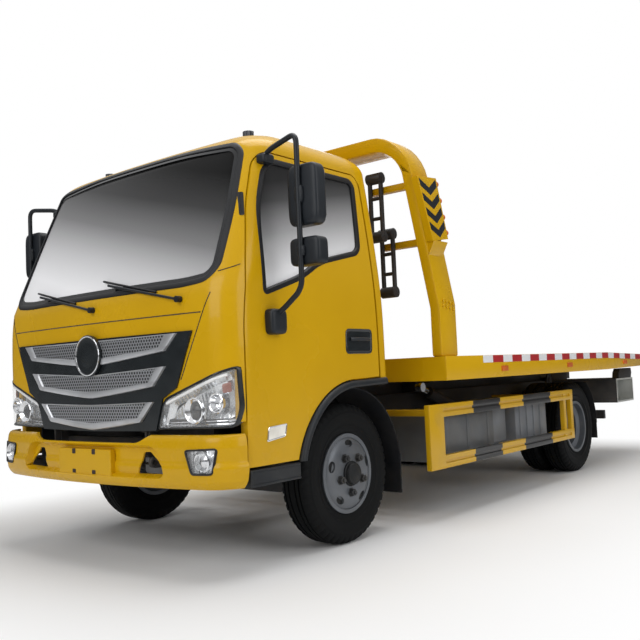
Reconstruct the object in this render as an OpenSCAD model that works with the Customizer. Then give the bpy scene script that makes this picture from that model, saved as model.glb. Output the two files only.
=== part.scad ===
// Flatbed tow truck with a tilting cab, a tilting and sliding deck and a lamp gantry.
// Millimetres, +Z up, front towards -Y, the truck's left towards +X.
// Inside the modules Y is measured from the front axle; placed() moves a piece to its place.

/* [Overall] */
// Deck's tail behind the rear axle
rear_overhang = 1572; // [1550:2:1600]
// Bumper's face ahead of the front axle
front_overhang = 1115; // [1090:5:1140]
// Distance between the axles
wheelbase = 3308; // [3280:2:3330]

/* [Wheels] */
// Radius of the tyres
tyre_r = 390; // [380:1:395]
// Width of a tyre
tyre_w = 196; // [185:1:205]
// Radius of the rim's flange
rim_r = 222; // [215:1:230]
// Width over the rim's flanges
rim_w = 170; // [160:1:175]
// Thickness of the wheel's pressed disc
disc_t = 12; // [8:1:16]
// Centre of a front wheel from the middle of the truck
front_wheel_x = 832; // [826:1:840]
// Middle of a twin pair from the middle of the truck
rear_wheel_x = 738; // [732:1:744]
// Distance between the two wheels of a pair
twin_pitch = 226; // [218:1:232]
// Radius of the kingpin
kingpin_r = 22; // [18:1:26]
// Kingpin from the middle of the truck
kingpin_x = 720; // [710:1:726]
// Radius of the wheel spindles
spindle_r = 32; // [28:1:38]
// Number of hand holes and wheel nuts
hole_count = 5; // [4:1:6]
// Running clearance of pins and spindles
run_gap = 0.3; // [0.2:0.1:0.6]
// Gap between pieces that seat on each other
seat_gap = 0.3; // [0.2:0.1:0.5]

/* [Chassis] */
// Outer half width of the frame
frame_half_w = 400; // [390:5:410]
// Width of a rail's flange
rail_w = 65; // [55:1:75]
// Height of a rail
rail_h = 170; // [160:2:180]
// Thickness of the rail's plate
rail_t = 8; // [6:1:12]
// Height of the rails' top
frame_top = 700; // [690:2:710]
// Rails behind the rear axle
frame_overhang = 762; // [750:2:770]

/* [Cab] */
// Half width of the cab
cab_half_w = 1005; // [995:1:1012]
// Nose of the cab ahead of the front axle
cab_front = 1030; // [1024:1:1036]
// Back wall behind the front axle
cab_rear = 334; // [320:1:345]
// Lower edge of the cab's sides
cab_sill_z = 525; // [515:1:535]
// Lower edge of the nose
nose_bottom_z = 746; // [744:1:752]
// Height of the windscreen's lower frame
cowl_z = 1395; // [1380:1:1410]
// Height where the roof starts to round over
brow_z = 2135; // [2110:1:2150]
// Height of the roof
roof_z = 2308; // [2290:1:2325]
// Rake of the windscreen in degrees
screen_rake = 22; // [20:0.5:23]
// Lean of each side in from the sill to the brow
tumblehome = 92; // [80:1:105]
// Thickness of walls and doors
cab_wall = 42; // [36:1:48]
// Front edge of a door ahead of the front axle
door_front = 866; // [862:1:870]
// Radius of a door hinge's barrel
door_hinge_r = 9; // [8:1:10]
// Gap round a door
door_gap = 8; // [7:1:10]
// Gap behind a door, for its swing
door_rear_gap = 14; // [13:1:16]
// Radius of the wheel arch
arch_r = 505; // [495:1:512]
// Width of the arch's flare
flare_w = 48; // [40:1:55]
// Thickness of the glass
glass_t = 6; // [5:1:8]
// Height of the cab's tilt pivot
pivot_z = 690; // [685:1:700]
// Cab's tilt pivot ahead of the front axle
pivot_front = 972; // [966:1:976]

/* [Bumper] */
// Lower edge of the bumper
bumper_bottom = 432; // [425:1:440]
// Upper edge at the ends
bumper_top = 690; // [680:1:695]
// Depth of the dip in the upper edge
bumper_dip = 40; // [30:1:50]
// Thickness of the bumper's wall
bumper_wall = 20; // [14:1:24]
// Rear ends of the bumper ahead of the front axle
bumper_end = 886; // [884:1:895]

/* [Bed] */
// Half width of the deck
deck_half_w = 1145; // [1130:1:1150]
// Front of the deck behind the front axle
deck_front = 756; // [740:2:770]
// Top of the deck
deck_top = 1030; // [1020:1:1040]
// Height of the deck's side rail
deck_side_h = 152; // [140:1:156]
// Height of the side rail at the tail
deck_tail_h = 100; // [90:1:115]
// Drop of the deck's top over its tail
tail_drop = 34; // [25:1:45]
// Length of the dropping tail
tail_l = 1290; // [1250:10:1350]
// Thickness of the floor plate
floor_t = 8; // [6:1:12]
// Height of the deck's cross members
cross_h = 70; // [60:1:80]
// Bed's hinge behind the rear axle
hinge_overhang = 692; // [686:2:700]
// Height of the bed's hinge
hinge_z = 790; // [785:1:795]
// Gap between the sliding deck and its frame
slide_gap = 0.3; // [0.2:0.1:0.6]
// Radius of the bed's hinge pin
hinge_r = 25; // [20:1:30]

/* [Gantry] */
// Half width over the posts
gantry_half_w = 1110; // [1100:1:1120]
// Width of a post seen from the front
post_w = 72; // [60:1:80]
// Depth of a post seen from the side
post_d = 205; // [190:1:220]
// Height of the gantry
gantry_top = 2410; // [2395:1:2425]
// Height of the bend in the posts
gantry_bend_z = 1335; // [1310:1:1360]
// Lean of the upper posts in degrees
gantry_lean = 17; // [15:0.5:19]
// Foot of the post behind the deck's front
gantry_foot = 18; // [10:1:26]

/* [Guards] */
// Outer face of the side guards
guard_x = 1088; // [1080:1:1095]
// Front of the side guards behind the front axle
guard_front = 620; // [610:2:640]
// Rear of the side guards ahead of the rear axle
guard_rear_gap = 423; // [418:1:438]
// Top of the side guards
guard_top = 730; // [720:1:740]
// Bottom of the side guards
guard_bottom = 330; // [320:1:345]
// Height of a guard's rail
guard_rail_h = 80; // [70:1:90]
// Depth of a guard's rail
guard_rail_d = 36; // [30:1:42]

/* [Hidden] */
$fn = 48;
overall_length = front_overhang + wheelbase + rear_overhang;
axle_y = front_overhang - overall_length / 2;
frame_tail = wheelbase + frame_overhang;
hinge_y = wheelbase + hinge_overhang;
guard_rear = wheelbase - guard_rear_gap;
axle_z = tyre_r;
deck_tail = overall_length - front_overhang;
frame_bottom = frame_top - rail_h;
deck_bottom = deck_top - deck_side_h;
tilt_top = deck_bottom - slide_gap;
body_yellow = [0.85, 0.62, 0.05];
trim_black = [0.06, 0.06, 0.065];
chassis_black = [0.10, 0.10, 0.11];
steel_grey = [0.55, 0.56, 0.58];
glass_tint = [0.25, 0.30, 0.33, 0.6];
lamp_clear = [0.85, 0.88, 0.9];

cab_pin_r = 15;
// Front towing eyes: place, thickness and radius of the hole
tow_x = 462;
tow_y = -1003;
tow_z = 548;
tow_t = 22;
tow_r = 18;
step_top = 512;
floor_z = 760;
seat_deck_z = 975;
seat_deck_front = -540;
// Tilt cylinders: feet on the frame and eyes under the bed
barrel_y = 2100;
barrel_z = 600;
eye_y = 1500;
eye_z = tilt_top - 60;
cylinder_x = 480;
barrel_pin_r = 16;
barrel_foot = [cylinder_x, barrel_y, barrel_z];
cylinder_way = [0, eye_y - barrel_y, eye_z - barrel_z];

module placed() {
    translate([0, axle_y, 0]) children();
}

module both_sides() {
    children();
    mirror([1, 0, 0]) children();
}

// A prism from x0 to x1 over points given as [y, z]
module side_prism(points, x0, x1) {
    translate([x0, 0, 0]) rotate([90, 0, 90]) linear_extrude(x1 - x0) polygon(points);
}

// A prism from y0 to y1 over points given as [x, z]
module front_prism(points, y0, y1) {
    translate([0, y1, 0]) rotate([90, 0, 0]) linear_extrude(y1 - y0) polygon(points);
}

module box(x0, x1, y0, y1, z0, z1) {
    translate([x0, y0, z0]) cube([x1 - x0, y1 - y0, z1 - z0]);
}

// A round bar along X
module bar_x(x0, x1, y, z, r) {
    translate([x0, y, z]) rotate([0, 90, 0]) cylinder(r = r, h = x1 - x0);
}

// A round bar between two points
module bar(a, b, r) {
    d = b - a;
    l = norm(d);
    translate(a) rotate([0, acos(d.z / l), atan2(d.y, d.x)]) cylinder(r = r, h = l);
}

// Points of an arc about [cx, cy], angles in degrees
function arc(cx, cy, r, a0, a1, n) =
    [for (i = [0:n]) let (a = a0 + (a1 - a0) * i / n) [cx + r * cos(a), cy + r * sin(a)]];

// A rectangle with rounded corners, as points
function rounded(x0, x1, y0, y1, r, n = 4) = concat(
    arc(x1 - r, y0 + r, r, -90, 0, n), arc(x1 - r, y1 - r, r, 0, 90, n),
    arc(x0 + r, y1 - r, r, 90, 180, n), arc(x0 + r, y0 + r, r, 180, 270, n));

// Half of a plan outline: a bowed nose, a rounded corner, a straight side and a tighter back corner
nose_bow_r = 9000;
bumper_bow_r = 4900;
back_corner_r = 60;
function half_plan(w, nose_y, corner_r, back_y, bow_r) =
    let (cx = w - corner_r,
         tangent = asin(cx / (bow_r - corner_r)),
         cy = nose_y + bow_r - (bow_r - corner_r) * cos(tangent),
         rr = back_corner_r)
    concat(
        [for (i = [1:5]) let (a = tangent * (i - 0.5) / 5)
            [bow_r * sin(a), nose_y + bow_r * (1 - cos(a))]],
        [for (i = [0:7]) let (a = tangent + (90 - tangent) * i / 7)
            [cx + corner_r * sin(a), cy - corner_r * cos(a)]],
        [for (i = [0:2]) let (a = 45 * i) [w - rr + rr * cos(a), back_y - rr + rr * sin(a)]]);

function plan(w, nose_y, corner_r, back_y, bow_r) =
    let (half = half_plan(w, nose_y, corner_r, back_y, bow_r), n = len(half))
    concat(half, [for (i = [n - 1:-1:0]) [-half[i].x, half[i].y]]);

// A solid through rings that all have the same number of points, given with their heights
module loft(rings, heights) {
    n = len(rings[0]);
    m = len(rings);
    points = [for (i = [0:m - 1]) for (p = rings[i]) [p.x, p.y, heights[i]]];
    walls = [for (i = [0:m - 2]) for (j = [0:n - 1]) let (k = (j + 1) % n, a = i * n, b = a + n)
        each [[a + j, b + j, b + k], [a + j, b + k, a + k]]];
    bottom = [for (j = [0:n - 1]) j];
    top = [for (j = [n - 1:-1:0]) (m - 1) * n + j];
    polyhedron(points = points, faces = concat(walls, [bottom], [top]));
}

// The cab's form, inset by t on every side, from one section to another; its lower end goes down by sink
screen_h = brow_z - cowl_z;
cab_corner_r = 168;
roof_turn = [330, 340, 260];
// Columns: height, inset of the sides, setback of the nose, setback of the back
body_sections = [
    [cab_sill_z, 6, 14, 0],
    [cab_sill_z + 300, 0, 4, 0],
    [cowl_z - 260, 0, 0, 0],
    [cowl_z - 90, 3, 3, 0],
    [cowl_z, 8, 14, 0]
];
screen_sections = [for (k = [0.25, 0.5, 0.75, 1])
    [cowl_z + screen_h * k, 8 + (tumblehome - 8) * pow(k, 1.25), 14 + screen_h * k * tan(screen_rake), 10 * k]];
roof_sections = [for (a = [22, 42, 60, 76, 88]) let (rise = sin(a), turn = 1 - cos(a))
    [brow_z + (roof_z - brow_z) * rise, tumblehome + roof_turn[0] * turn,
     14 + (screen_h + (roof_z - brow_z) * rise) * tan(screen_rake) * 0.98 + roof_turn[1] * turn,
     10 + roof_turn[2] * turn]];
cab_sections = concat(body_sections, screen_sections, roof_sections);

last_section = len(cab_sections) - 1;
module cab_form(t, sink = 0, first = 0, last = last_section) {
    rings = [for (i = [first:last]) let (s = cab_sections[i])
        plan(cab_half_w - s[1] - t, s[2] - cab_front + t, cab_corner_r - t, cab_rear - s[3] - t, nose_bow_r)];
    heights = [for (i = [first:last]) let (z = cab_sections[i][0])
        i == first ? z - sink : z > brow_z ? z - t * (z - brow_z) / (roof_z - brow_z) : z];
    loft(rings, heights);
}

// Y of the nose at x, for a section with the given setback
function nose_at(x, setback) = setback - cab_front + nose_bow_r - sqrt(nose_bow_r * nose_bow_r - x * x);

module cab_wall_form() {
    difference() {
        cab_form(0);
        cab_form(cab_wall, 40);
    }
}

// Outline of the door as [y, z], grown by g all round and by h behind
door_rear = 222;
door_top = 2118;
function door_outline(g, h) = [
    [-door_front - g, cab_sill_z - g], [-door_front - g, 1240], [-824 - g, 1500], [-745 - g, 1815],
    [-650 - g, door_top - 50], [-590 - g, door_top + g], [door_rear - 45, door_top + g],
    [door_rear - 8 + h, door_top - 45], [door_rear + h, 1500], [door_rear + 6 + h, cab_sill_z - g]];

// Door hinge barrels in the gap ahead of the door: part 0 belongs to the cab, part 1 to the door
door_hinge_y = -door_front - door_gap / 2;
corner_cx = cab_half_w - cab_corner_r;
corner_cy = nose_bow_r - cab_front
    - sqrt(pow(nose_bow_r - cab_corner_r, 2) - corner_cx * corner_cx);
door_hinge_x = corner_cx + sqrt(cab_corner_r * cab_corner_r - pow(door_hinge_y - corner_cy, 2)) - 2;
door_hinge_l = 40;
module door_hinges(part, r) {
    grow = r - door_hinge_r;
    for (z = [800, 1120])
        translate([door_hinge_x, door_hinge_y, z + part * (door_hinge_l + seat_gap) - grow / 4])
            cylinder(r = r, h = door_hinge_l + grow / 2);
}

// Outline of the side window as [y, z], grown by g
function window_outline(g) = [
    [-712 - g, 1372 - g], [-413, 1470 - g], [-260, 1560 - g], [90, 1640 - g], [125 + g, 1675 - g],
    [158 + g, door_top - 70], [130, door_top - 40 + g], [-545, door_top - 40 + g],
    [-610 - g, door_top - 95 + g], [-700 - g, 1790]];

// Outline of the windscreen as [x, z], grown by g
function screen_outline(g) = [
    [-700, 1425 - g], [700, 1425 - g], [840 + g, 1440 - g], [888 + g, 1500], [872 + g, 1800],
    [826 + g, 2130], [770 + g, 2178 + g], [400, 2210 + g], [-400, 2210 + g], [-770 - g, 2178 + g],
    [-826 - g, 2130], [-872 - g, 1800], [-888 - g, 1500], [-840 - g, 1440 - g]];

// Outline of a headlamp as [x, z], grown by g
function lamp_outline(g) = [
    [508 - g, 712 - g], [972 + g, 722 - g], [992 + g, 800], [988 + g, 1012 + g], [784, 939 + g],
    [561 - g, 862 + g]];

// Space of the arch over a front wheel, r from the axle
module arch_space(r, x0, x1) {
    bar_x(x0, x1, 0, axle_z, r, $fn = 160);
}

// Springs: half length, height of the arc and seat of each axle's pair
front_spring = [560, 90, axle_z - 92 + 38];
rear_tube_r = 60;
rear_spring = [640, 25, axle_z + rear_tube_r];
leaf_t = 12;
function eye_height(spring) = spring[2] + seat_gap + 4 * leaf_t + spring[1];

module spring_hangers(y, spring) {
    for (side = [-1, 1])
        box(frame_half_w - rail_w + 5, frame_half_w - 4, y + side * spring[0] - 30, y + side * spring[0] + 30,
            eye_height(spring) + seat_gap, frame_bottom - seat_gap);
}

module frame_rails() {
    cross_y = [-930, wheelbase * 0.4474, wheelbase * 0.7255, wheelbase - 388, wheelbase + 412];
    color(chassis_black) placed() {
        both_sides() difference() {
            box(frame_half_w - rail_w, frame_half_w, -975, frame_tail, frame_bottom, frame_top);
            box(frame_half_w - rail_w - 1, frame_half_w - rail_t, -976, frame_tail + 1,
                frame_bottom + rail_t, frame_top - rail_t);
        }
        for (y = cross_y)
            box(rail_t + seat_gap - frame_half_w, frame_half_w - rail_t - seat_gap, y, y + 60,
                frame_bottom + 30, frame_top - 40);
        both_sides() {
            difference() {
                side_prism(rounded(-pivot_front - 35, -pivot_front + 60, frame_bottom + 40, pivot_z + 35, 20),
                    frame_half_w + seat_gap, frame_half_w + 14);
                bar_x(frame_half_w - 1, frame_half_w + 15, -pivot_front, pivot_z, cab_pin_r + run_gap);
            }
            difference() {
                union() {
                    side_prism(concat([[-930, tow_z - 28], [-930, tow_z + 28]],
                        arc(tow_y, tow_z, 28, 90, 270, 8)), tow_x - tow_t / 2, tow_x + tow_t / 2);
                    box(frame_half_w + seat_gap, tow_x + tow_t / 2 - 1, -960, -930, tow_z - 20, tow_z + 20);
                }
                bar_x(tow_x - tow_t, tow_x + tow_t, tow_y, tow_z, tow_r);
            }
            spring_hangers(0, front_spring);
            spring_hangers(wheelbase, rear_spring);
            bar_x(frame_half_w + seat_gap, cylinder_x + 34, barrel_y, barrel_z, barrel_pin_r);
        }
    }
}

module sub_frame() {
    pad_h = tilt_top - 96 - frame_top - slide_gap;
    color(chassis_black) placed() both_sides() {
        box(frame_half_w - rail_w, frame_half_w, 900, frame_tail - 120, frame_top, frame_top + pad_h);
        difference() {
            side_prism(concat([[hinge_y - 110, frame_top - 120], [hinge_y + 60, frame_top - 120]],
                arc(hinge_y, hinge_z, 60, 0, 180, 8)), frame_half_w, frame_half_w + 16);
            bar_x(frame_half_w - 1, frame_half_w + 20, hinge_y, hinge_z, hinge_r + run_gap);
        }
    }
}

module engine_block() {
    color(steel_grey) placed() {
        box(-230, 230, -520, 260, 400, 900);
        box(-170, 170, 260, 900, 430, 690);
    }
}

module front_axle() {
    beam_drop = 92;
    color(chassis_black) placed() difference() {
        union() {
            front_prism([[-kingpin_x, axle_z - 40], [-560, axle_z - 45], [-430, axle_z - beam_drop - 38],
                [430, axle_z - beam_drop - 38], [560, axle_z - 45], [kingpin_x, axle_z - 40],
                [kingpin_x, axle_z + 40], [540, axle_z + 25], [416, axle_z - beam_drop + 38],
                [-416, axle_z - beam_drop + 38], [-540, axle_z + 25], [-kingpin_x, axle_z + 40]], -38, 38);
            both_sides() translate([kingpin_x, 0, axle_z - 42]) cylinder(r = kingpin_r + 20, h = 84);
        }
        both_sides() {
            translate([kingpin_x, 0, axle_z - 60]) cylinder(r = kingpin_r + run_gap, h = 120);
        }
    }
}

// A leaf pack: a main leaf bowed between its two eyes and shorter leaves stepped under it
module leaf_pack(y, spring) {
    half_l = spring[0];
    sag = spring[1];
    r = (half_l * half_l + sag * sag) / (2 * sag);
    a = asin(half_l / r);
    zc = eye_height(spring) - sag + r;
    // Columns: share of the length, leaves under it
    steps = [[1, 1], [0.75, 2], [0.55, 3], [0.35, 4]];
    left = [for (s = steps) each [[y - (r + s[1] * leaf_t) * sin(a * s[0]), zc - (r + s[1] * leaf_t) * cos(a * s[0])],
        [y - (r + s[1] * leaf_t) * sin(a * (s[0] - 0.2)), zc - (r + s[1] * leaf_t) * cos(a * (s[0] - 0.2))]]];
    n = len(left);
    right = [for (i = [n - 1:-1:0]) [2 * y - left[i].x, left[i].y]];
    side_prism(concat(left, right, arc(y, zc, r, a - 90, -90 - a, 12)), 345, 405);
    box(345, 405, y - 60, y + 60, spring[2] + seat_gap, spring[2] + 4 * leaf_t);
}

module leaf_springs() {
    color(chassis_black) placed() both_sides() {
        leaf_pack(0, front_spring);
        leaf_pack(wheelbase, rear_spring);
    }
}

module rear_axle() {
    hub_x = rear_wheel_x - twin_pitch / 2 - 40 - seat_gap;
    color(chassis_black) placed() translate([0, wheelbase, axle_z]) {
        rotate([0, 90, 0]) translate([0, 0, -hub_x]) cylinder(r = rear_tube_r, h = 2 * hub_x);
        rotate([90, 0, 0]) cylinder(r = 165, h = 190, center = true);
        rotate([0, 90, 0]) translate([0, 0, -rear_wheel_x - 60])
            cylinder(r = spindle_r, h = 2 * rear_wheel_x + 120);
        translate([0, -95, 0]) rotate([90, 0, 0]) cylinder(r = 60, h = 90);
    }
}

module propshaft() {
    color(chassis_black) placed() bar([0, 903.2, 560], [0, wheelbase - 188.2, axle_z], 38);
}

module exhaust() {
    x = -260;
    z = 450;
    color(steel_grey) placed() {
        bar([x, 300, z], [x, 1000, z], 32);
        bar([x, 1000, z], [x, 1700, z], 95);
        bar([x, 1700, z], [x, 2300, z], 30);
        box(x - 20, x + 20, 1490, 1530, z + 80, frame_bottom + 30);
        box(x - 60, -170, 300, 340, z - 20, z + 20);
    }
}

// The bumper's form, inset by t; columns: height, inset of the ends, setback of the face
bumper_sections = [
    [bumper_bottom, 34, 30], [bumper_bottom + 38, 10, 8], [bumper_bottom + 100, 0, 0],
    [bumper_bottom + 122, 10, 10], [bumper_top - 60, 8, 8], [bumper_top, 18, 34]
];
bumper_half_w = cab_half_w + 15;
module bumper_form(t, reach = 0) {
    last = len(bumper_sections) - 1;
    loft([for (s = bumper_sections)
            plan(bumper_half_w - s[1] - t, s[2] - front_overhang + t, 190 - t, -500, bumper_bow_r)],
        [for (i = [0:last]) bumper_sections[i][0] + (i == 0 ? -reach : i == last ? reach : 0)]);
}

// Outline of a fog lamp as [x, z], grown by g
function fog_outline(g) = [[791 - g, 506 - g], [906 + g, 508 - g], [924 + g, 627 + g], [750 - g, 619 + g]];
// Recess across the bumper's face as [x, z], grown by g, its depth, and the plate panel in it
function recess_outline(g) = [[-622 - g, 488 - g], [622 + g, 488 - g], [556 + g, 634 + g], [-556 - g, 634 + g]];
recess_d = 25;
plate_half_w = 270;
module front_bumper() {
    color(body_yellow) placed() {
        difference() {
            union() {
                difference() {
                    bumper_form(0);
                    bumper_form(bumper_wall, 5);
                }
                intersection() {
                    difference() {
                        bumper_form(0);
                        bumper_form(bumper_wall + recess_d, 5);
                    }
                    front_prism(recess_outline(16), -1300, -900);
                }
            }
            difference() {
                front_prism(recess_outline(0), -1300, -900);
                bumper_form(recess_d, 5);
            }
            box(-2000, 2000, -bumper_end, 0, 0, 2000);
            front_prism([[-520, bumper_top + 9], [-440, bumper_top - bumper_dip],
                [440, bumper_top - bumper_dip], [520, bumper_top + 9]], -1300, -800);
            both_sides() {
                front_prism(fog_outline(seat_gap), -1300, -800);
                front_prism([[tow_x - 48, 502], [tow_x + 138, 502], [tow_x + 8, 594]], -1300, -900);
            }
        }
        front_prism(rounded(-plate_half_w, plate_half_w, 476, 614, 10), recess_d - front_overhang - 9,
            recess_d + 12 - front_overhang);
        both_sides() box(frame_half_w - rail_w, frame_half_w, recess_d + 24 - front_overhang,
            -975 - seat_gap, frame_bottom + 20, frame_bottom + 90);
    }
}

module fog_lamps() {
    color(lamp_clear) placed() intersection() {
        bumper_form(6);
        both_sides() front_prism(fog_outline(0), -1300, -970);
    }
}

module front_mudguards() {
    liner_r = arch_r - 30;
    color(trim_black) placed() both_sides() {
        side_prism(concat(arc(0, axle_z, liner_r, 100, 0, 14), arc(0, axle_z, liner_r + 8, 0, 100, 14)), 660, 955);
        box(690, 950, liner_r + 4, liner_r + 16, 215, axle_z + 60);
        box(frame_half_w, 700, liner_r - 28, liner_r + 2, axle_z + 150, axle_z + 190);
    }
}

module rear_mudguards() {
    guard_r = tyre_r + 45;
    color(trim_black) placed() both_sides() {
        side_prism(concat(arc(wheelbase, axle_z, guard_r, 60, 0, 10), arc(wheelbase, axle_z, guard_r + 6, 0, 60, 10)),
            520, 960);
        box(530, 955, wheelbase + guard_r, wheelbase + guard_r + 10, 250, axle_z + 30);
        box(frame_half_w, 540, wheelbase + guard_r * cos(28) - 10, wheelbase + guard_r * cos(28) + 16,
            axle_z + guard_r * sin(28) - 16, axle_z + guard_r * sin(28) + 16);
    }
}

// Y at a share of the bay beside the frame, from behind the cab to ahead of the rear wheels
bay_front = 900;
bay_rear = wheelbase - 738;
function bay(share) = bay_front + share * (bay_rear - bay_front);

module fuel_tank() {
    tank_rear = bay(0.449);
    color(chassis_black) placed() {
        front_prism(rounded(600, 985, 345, 680, 60), bay_front, tank_rear);
        for (y = [bay_front + 80, (bay_front + tank_rear) / 2, tank_rear - 80])
            front_prism(rounded(595, 990, 340, 685, 62), y - 20, y + 20);
        for (y = [bay_front + 100, tank_rear - 100])
            box(frame_half_w, 640, y, y + 50, 600, 660);
    }
}

// Boxes beside the frame; columns: side, inner x, outer x, front, rear, bottom, top
box_places = [[1, 550, 940, bay(0.491), bay(0.623), 400, 640], [1, 550, 985, bay(0.665), bay(1), 352, 690],
    [-1, 550, 1000, bay(0.06), bay(0.539), 360, 680]];
module side_boxes() {
    color(chassis_black) placed() for (b = box_places) mirror([b[0] < 0 ? 1 : 0, 0, 0]) {
        box(b[1], b[2], b[3], b[4], b[5], b[6]);
        for (y = [b[3] + (b[4] - b[3]) * 0.35, b[4] - 80])
            box(frame_half_w, b[1] - seat_gap, y, y + 50, 545, 610);
        if (b[4] - b[3] > 300) for (y = [b[3] + 60:120:b[4] - 60])
            box(b[2] - 1, b[2] + 10, y, y + 40, b[5] + 20, b[6] - 20);
    }
}

module side_guards() {
    inner_x = guard_x - guard_rail_d;
    groove = guard_rail_h / 4;
    color(body_yellow) placed() both_sides() {
        for (z = [guard_bottom, guard_top - guard_rail_h]) difference() {
            box(inner_x, guard_x, guard_front + 170, guard_rear, z, z + guard_rail_h);
            box(guard_x - 10, guard_x + 1, guard_front + 172, guard_rear - 60,
                z + guard_rail_h / 2 - groove / 2, z + guard_rail_h / 2 + groove / 2);
        }
        box(inner_x, guard_x, guard_front, guard_front + 171, guard_bottom, guard_top);
        for (y = [guard_rear - 50, guard_rear - 190])
            box(inner_x, guard_x - 2, y, y + 48, guard_bottom + 2, guard_top - 2);
        for (y = [guard_front + 60, guard_rear - 100])
            box(frame_half_w, inner_x + 1, y, y + 50, guard_top - 70, guard_top - 30);
    }
}

module underrun_bar() {
    y = frame_tail - 50;
    color(trim_black) placed() {
        box(-930, 930, y, y + 42, 405, 485);
        both_sides() box(frame_half_w - 52, frame_half_w - 40, y - 36, y + 42, 405, frame_bottom);
    }
}

module cab_shell() {
    color(body_yellow) placed() {
        difference() {
            cab_wall_form();
            both_sides() {
                side_prism(door_outline(door_gap, door_rear_gap), 700, 1200);
                front_prism(lamp_outline(3), -1300, -lamp_back);
                arch_space(arch_r + flare_w + seat_gap, 600, 1200);
            }
            front_prism(screen_outline(0), -1400, -480);
            front_prism(rounded(-620, 620, 1480, 1960, 60), cab_rear - 120, cab_rear + 100);
            box(-1200, 1200, -1300, -door_front, 0, nose_bottom_z);
            box(-1200, 1200, -840, 100, 0, cab_sill_z + 200);
            box(-1200, 1200, 100, 500, 0, 880);
            box(-900, 900, -100, 500, 0, seat_deck_z - 60);
            both_sides() door_hinges(1, door_hinge_r + 1);
        }
        both_sides() door_hinges(0, door_hinge_r);
    }
}

module cab_floor() {
    side = cab_half_w - cab_wall - 16;
    lug_x = frame_half_w + 14 + seat_gap;
    color(chassis_black) placed() {
        intersection() {
            cab_form(cab_wall + seat_gap, 40);
            side_prism([[-1100, floor_z - 20], [seat_deck_front + 20, floor_z - 20],
                [seat_deck_front + 20, seat_deck_z - 20], [400, seat_deck_z - 20],
                [400, seat_deck_z], [seat_deck_front, seat_deck_z],
                [seat_deck_front, floor_z], [-1100, floor_z]], -side, side);
        }
        both_sides() {
            side_prism(concat(arc(-pivot_front, pivot_z, 26, 180, 360, 8),
                [[26 - pivot_front, floor_z - 19], [-26 - pivot_front, floor_z - 19]]), lug_x, lug_x + 16);
            bar_x(frame_half_w + seat_gap, lug_x + 1, -pivot_front, pivot_z, cab_pin_r);
        }
    }
}

module cab_glass() {
    color(glass_tint) placed() {
        intersection() {
            difference() {
                cab_form(8, 0, nose_last);
                cab_form(8 + glass_t, 40, nose_last);
            }
            front_prism(screen_outline(-1), -1400, -480);
        }
        front_prism(rounded(seat_gap - 620, 620 - seat_gap, 1480 + seat_gap, 1960 - seat_gap, 60 - seat_gap),
            cab_rear - cab_wall / 2, cab_rear - cab_wall / 2 + glass_t);
    }
}

// Outline of the grille as [x, z]
grille_top = 1193;
grille_points = [[0, 700], [503, 706], [560, 866], [658, 918], [722, 1069], [774, grille_top],
    [-774, grille_top], [-722, 1069], [-658, 918], [-560, 866], [-503, 706]];
grille_proud = 10;
band_proud = 24;
// Columns: lower z and upper z at the middle, half width below, half width above, lower z and upper z at the ends
bands = [[1046, 1182, 595, 679, 1102, 1186], [875, 1000, 506, 596, 928, 1027], [706, 842, 402, 503, 749, 852]];
badge_z = 1104;
badge_r = 113;
// Section where the nose's skins end
nose_last = 3;

module nose_skin(inner, outer) {
    difference() {
        cab_form(-outer, 0, 0, nose_last);
        cab_form(-inner, 40, 0, nose_last + 1);
    }
}

module grille() {
    color(trim_black) placed() intersection() {
        nose_skin(0.4, grille_proud);
        front_prism(grille_points, -1400, -880);
    }
}

module grille_bands() {
    color(steel_grey) placed() {
        intersection() {
            nose_skin(grille_proud + 0.4, band_proud);
            union() for (b = bands) front_prism([[0, b[0]], [b[2], b[4]], [b[3], b[5]],
                [0, b[1]], [-b[3], b[5]], [-b[2], b[4]]], -1400, -880);
        }
        translate([0, -cab_front - 18, badge_z]) rotate([90, 0, 0]) cylinder(r = badge_r, h = 18);
    }
}

lamp_back = door_front + door_gap + 16;
module headlamps() {
    color(lamp_clear) placed() intersection() {
        difference() {
            cab_form(-4, 0, 0, nose_last);
            cab_form(cab_wall, 40, 0, nose_last + 1);
        }
        both_sides() front_prism(lamp_outline(0), -1300, -lamp_back - 3);
    }
}

module wipers() {
    pivot_wiper_z = cowl_z - 43;
    tip_z = 1475;
    color(trim_black) placed() for (x = [10, 690]) {
        y = nose_at(x, 9) - 24;
        tip = [x - 560, nose_at(x - 560, 14 + (tip_z - cowl_z) * tan(screen_rake)) - 26, tip_z];
        bar([x, y, pivot_wiper_z], tip, 7);
        translate([x, nose_at(x, 9) - 2 - x / 1380, pivot_wiper_z]) rotate([90, 0, 0]) cylinder(r = 16, h = 28);
    }
}

module seats() {
    color(trim_black) placed() for (x = [-560, -60, 540]) {
        w = x == -60 ? 180 : 260;
        side_prism(rounded(-420, 100, seat_deck_z + 40, seat_deck_z + 190, 50), x - w, x + w);
        side_prism([[30, seat_deck_z + 180], [170, seat_deck_z + 170], [250, seat_deck_z + 760],
            [180, seat_deck_z + 780]], x - w, x + w);
        box(x - w + 40, x + w - 40, -380, 60, seat_deck_z, seat_deck_z + 41);
    }
}

module dash_prism(g) {
    side = cab_half_w - cab_wall - 16;
    side_prism([[-1100, 1020 - g], [-820, 1010 - g], [-700 + g, 1060 - g], [-690 + g, 1240], [-760 + g, 1330 + g],
        [-1100, 1365 + g]], -side + 60, side - 60);
}

module dashboard() {
    color(trim_black) placed() intersection() {
        dash_prism(0);
        cab_form(cab_wall + seat_gap, 40);
    }
}

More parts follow.
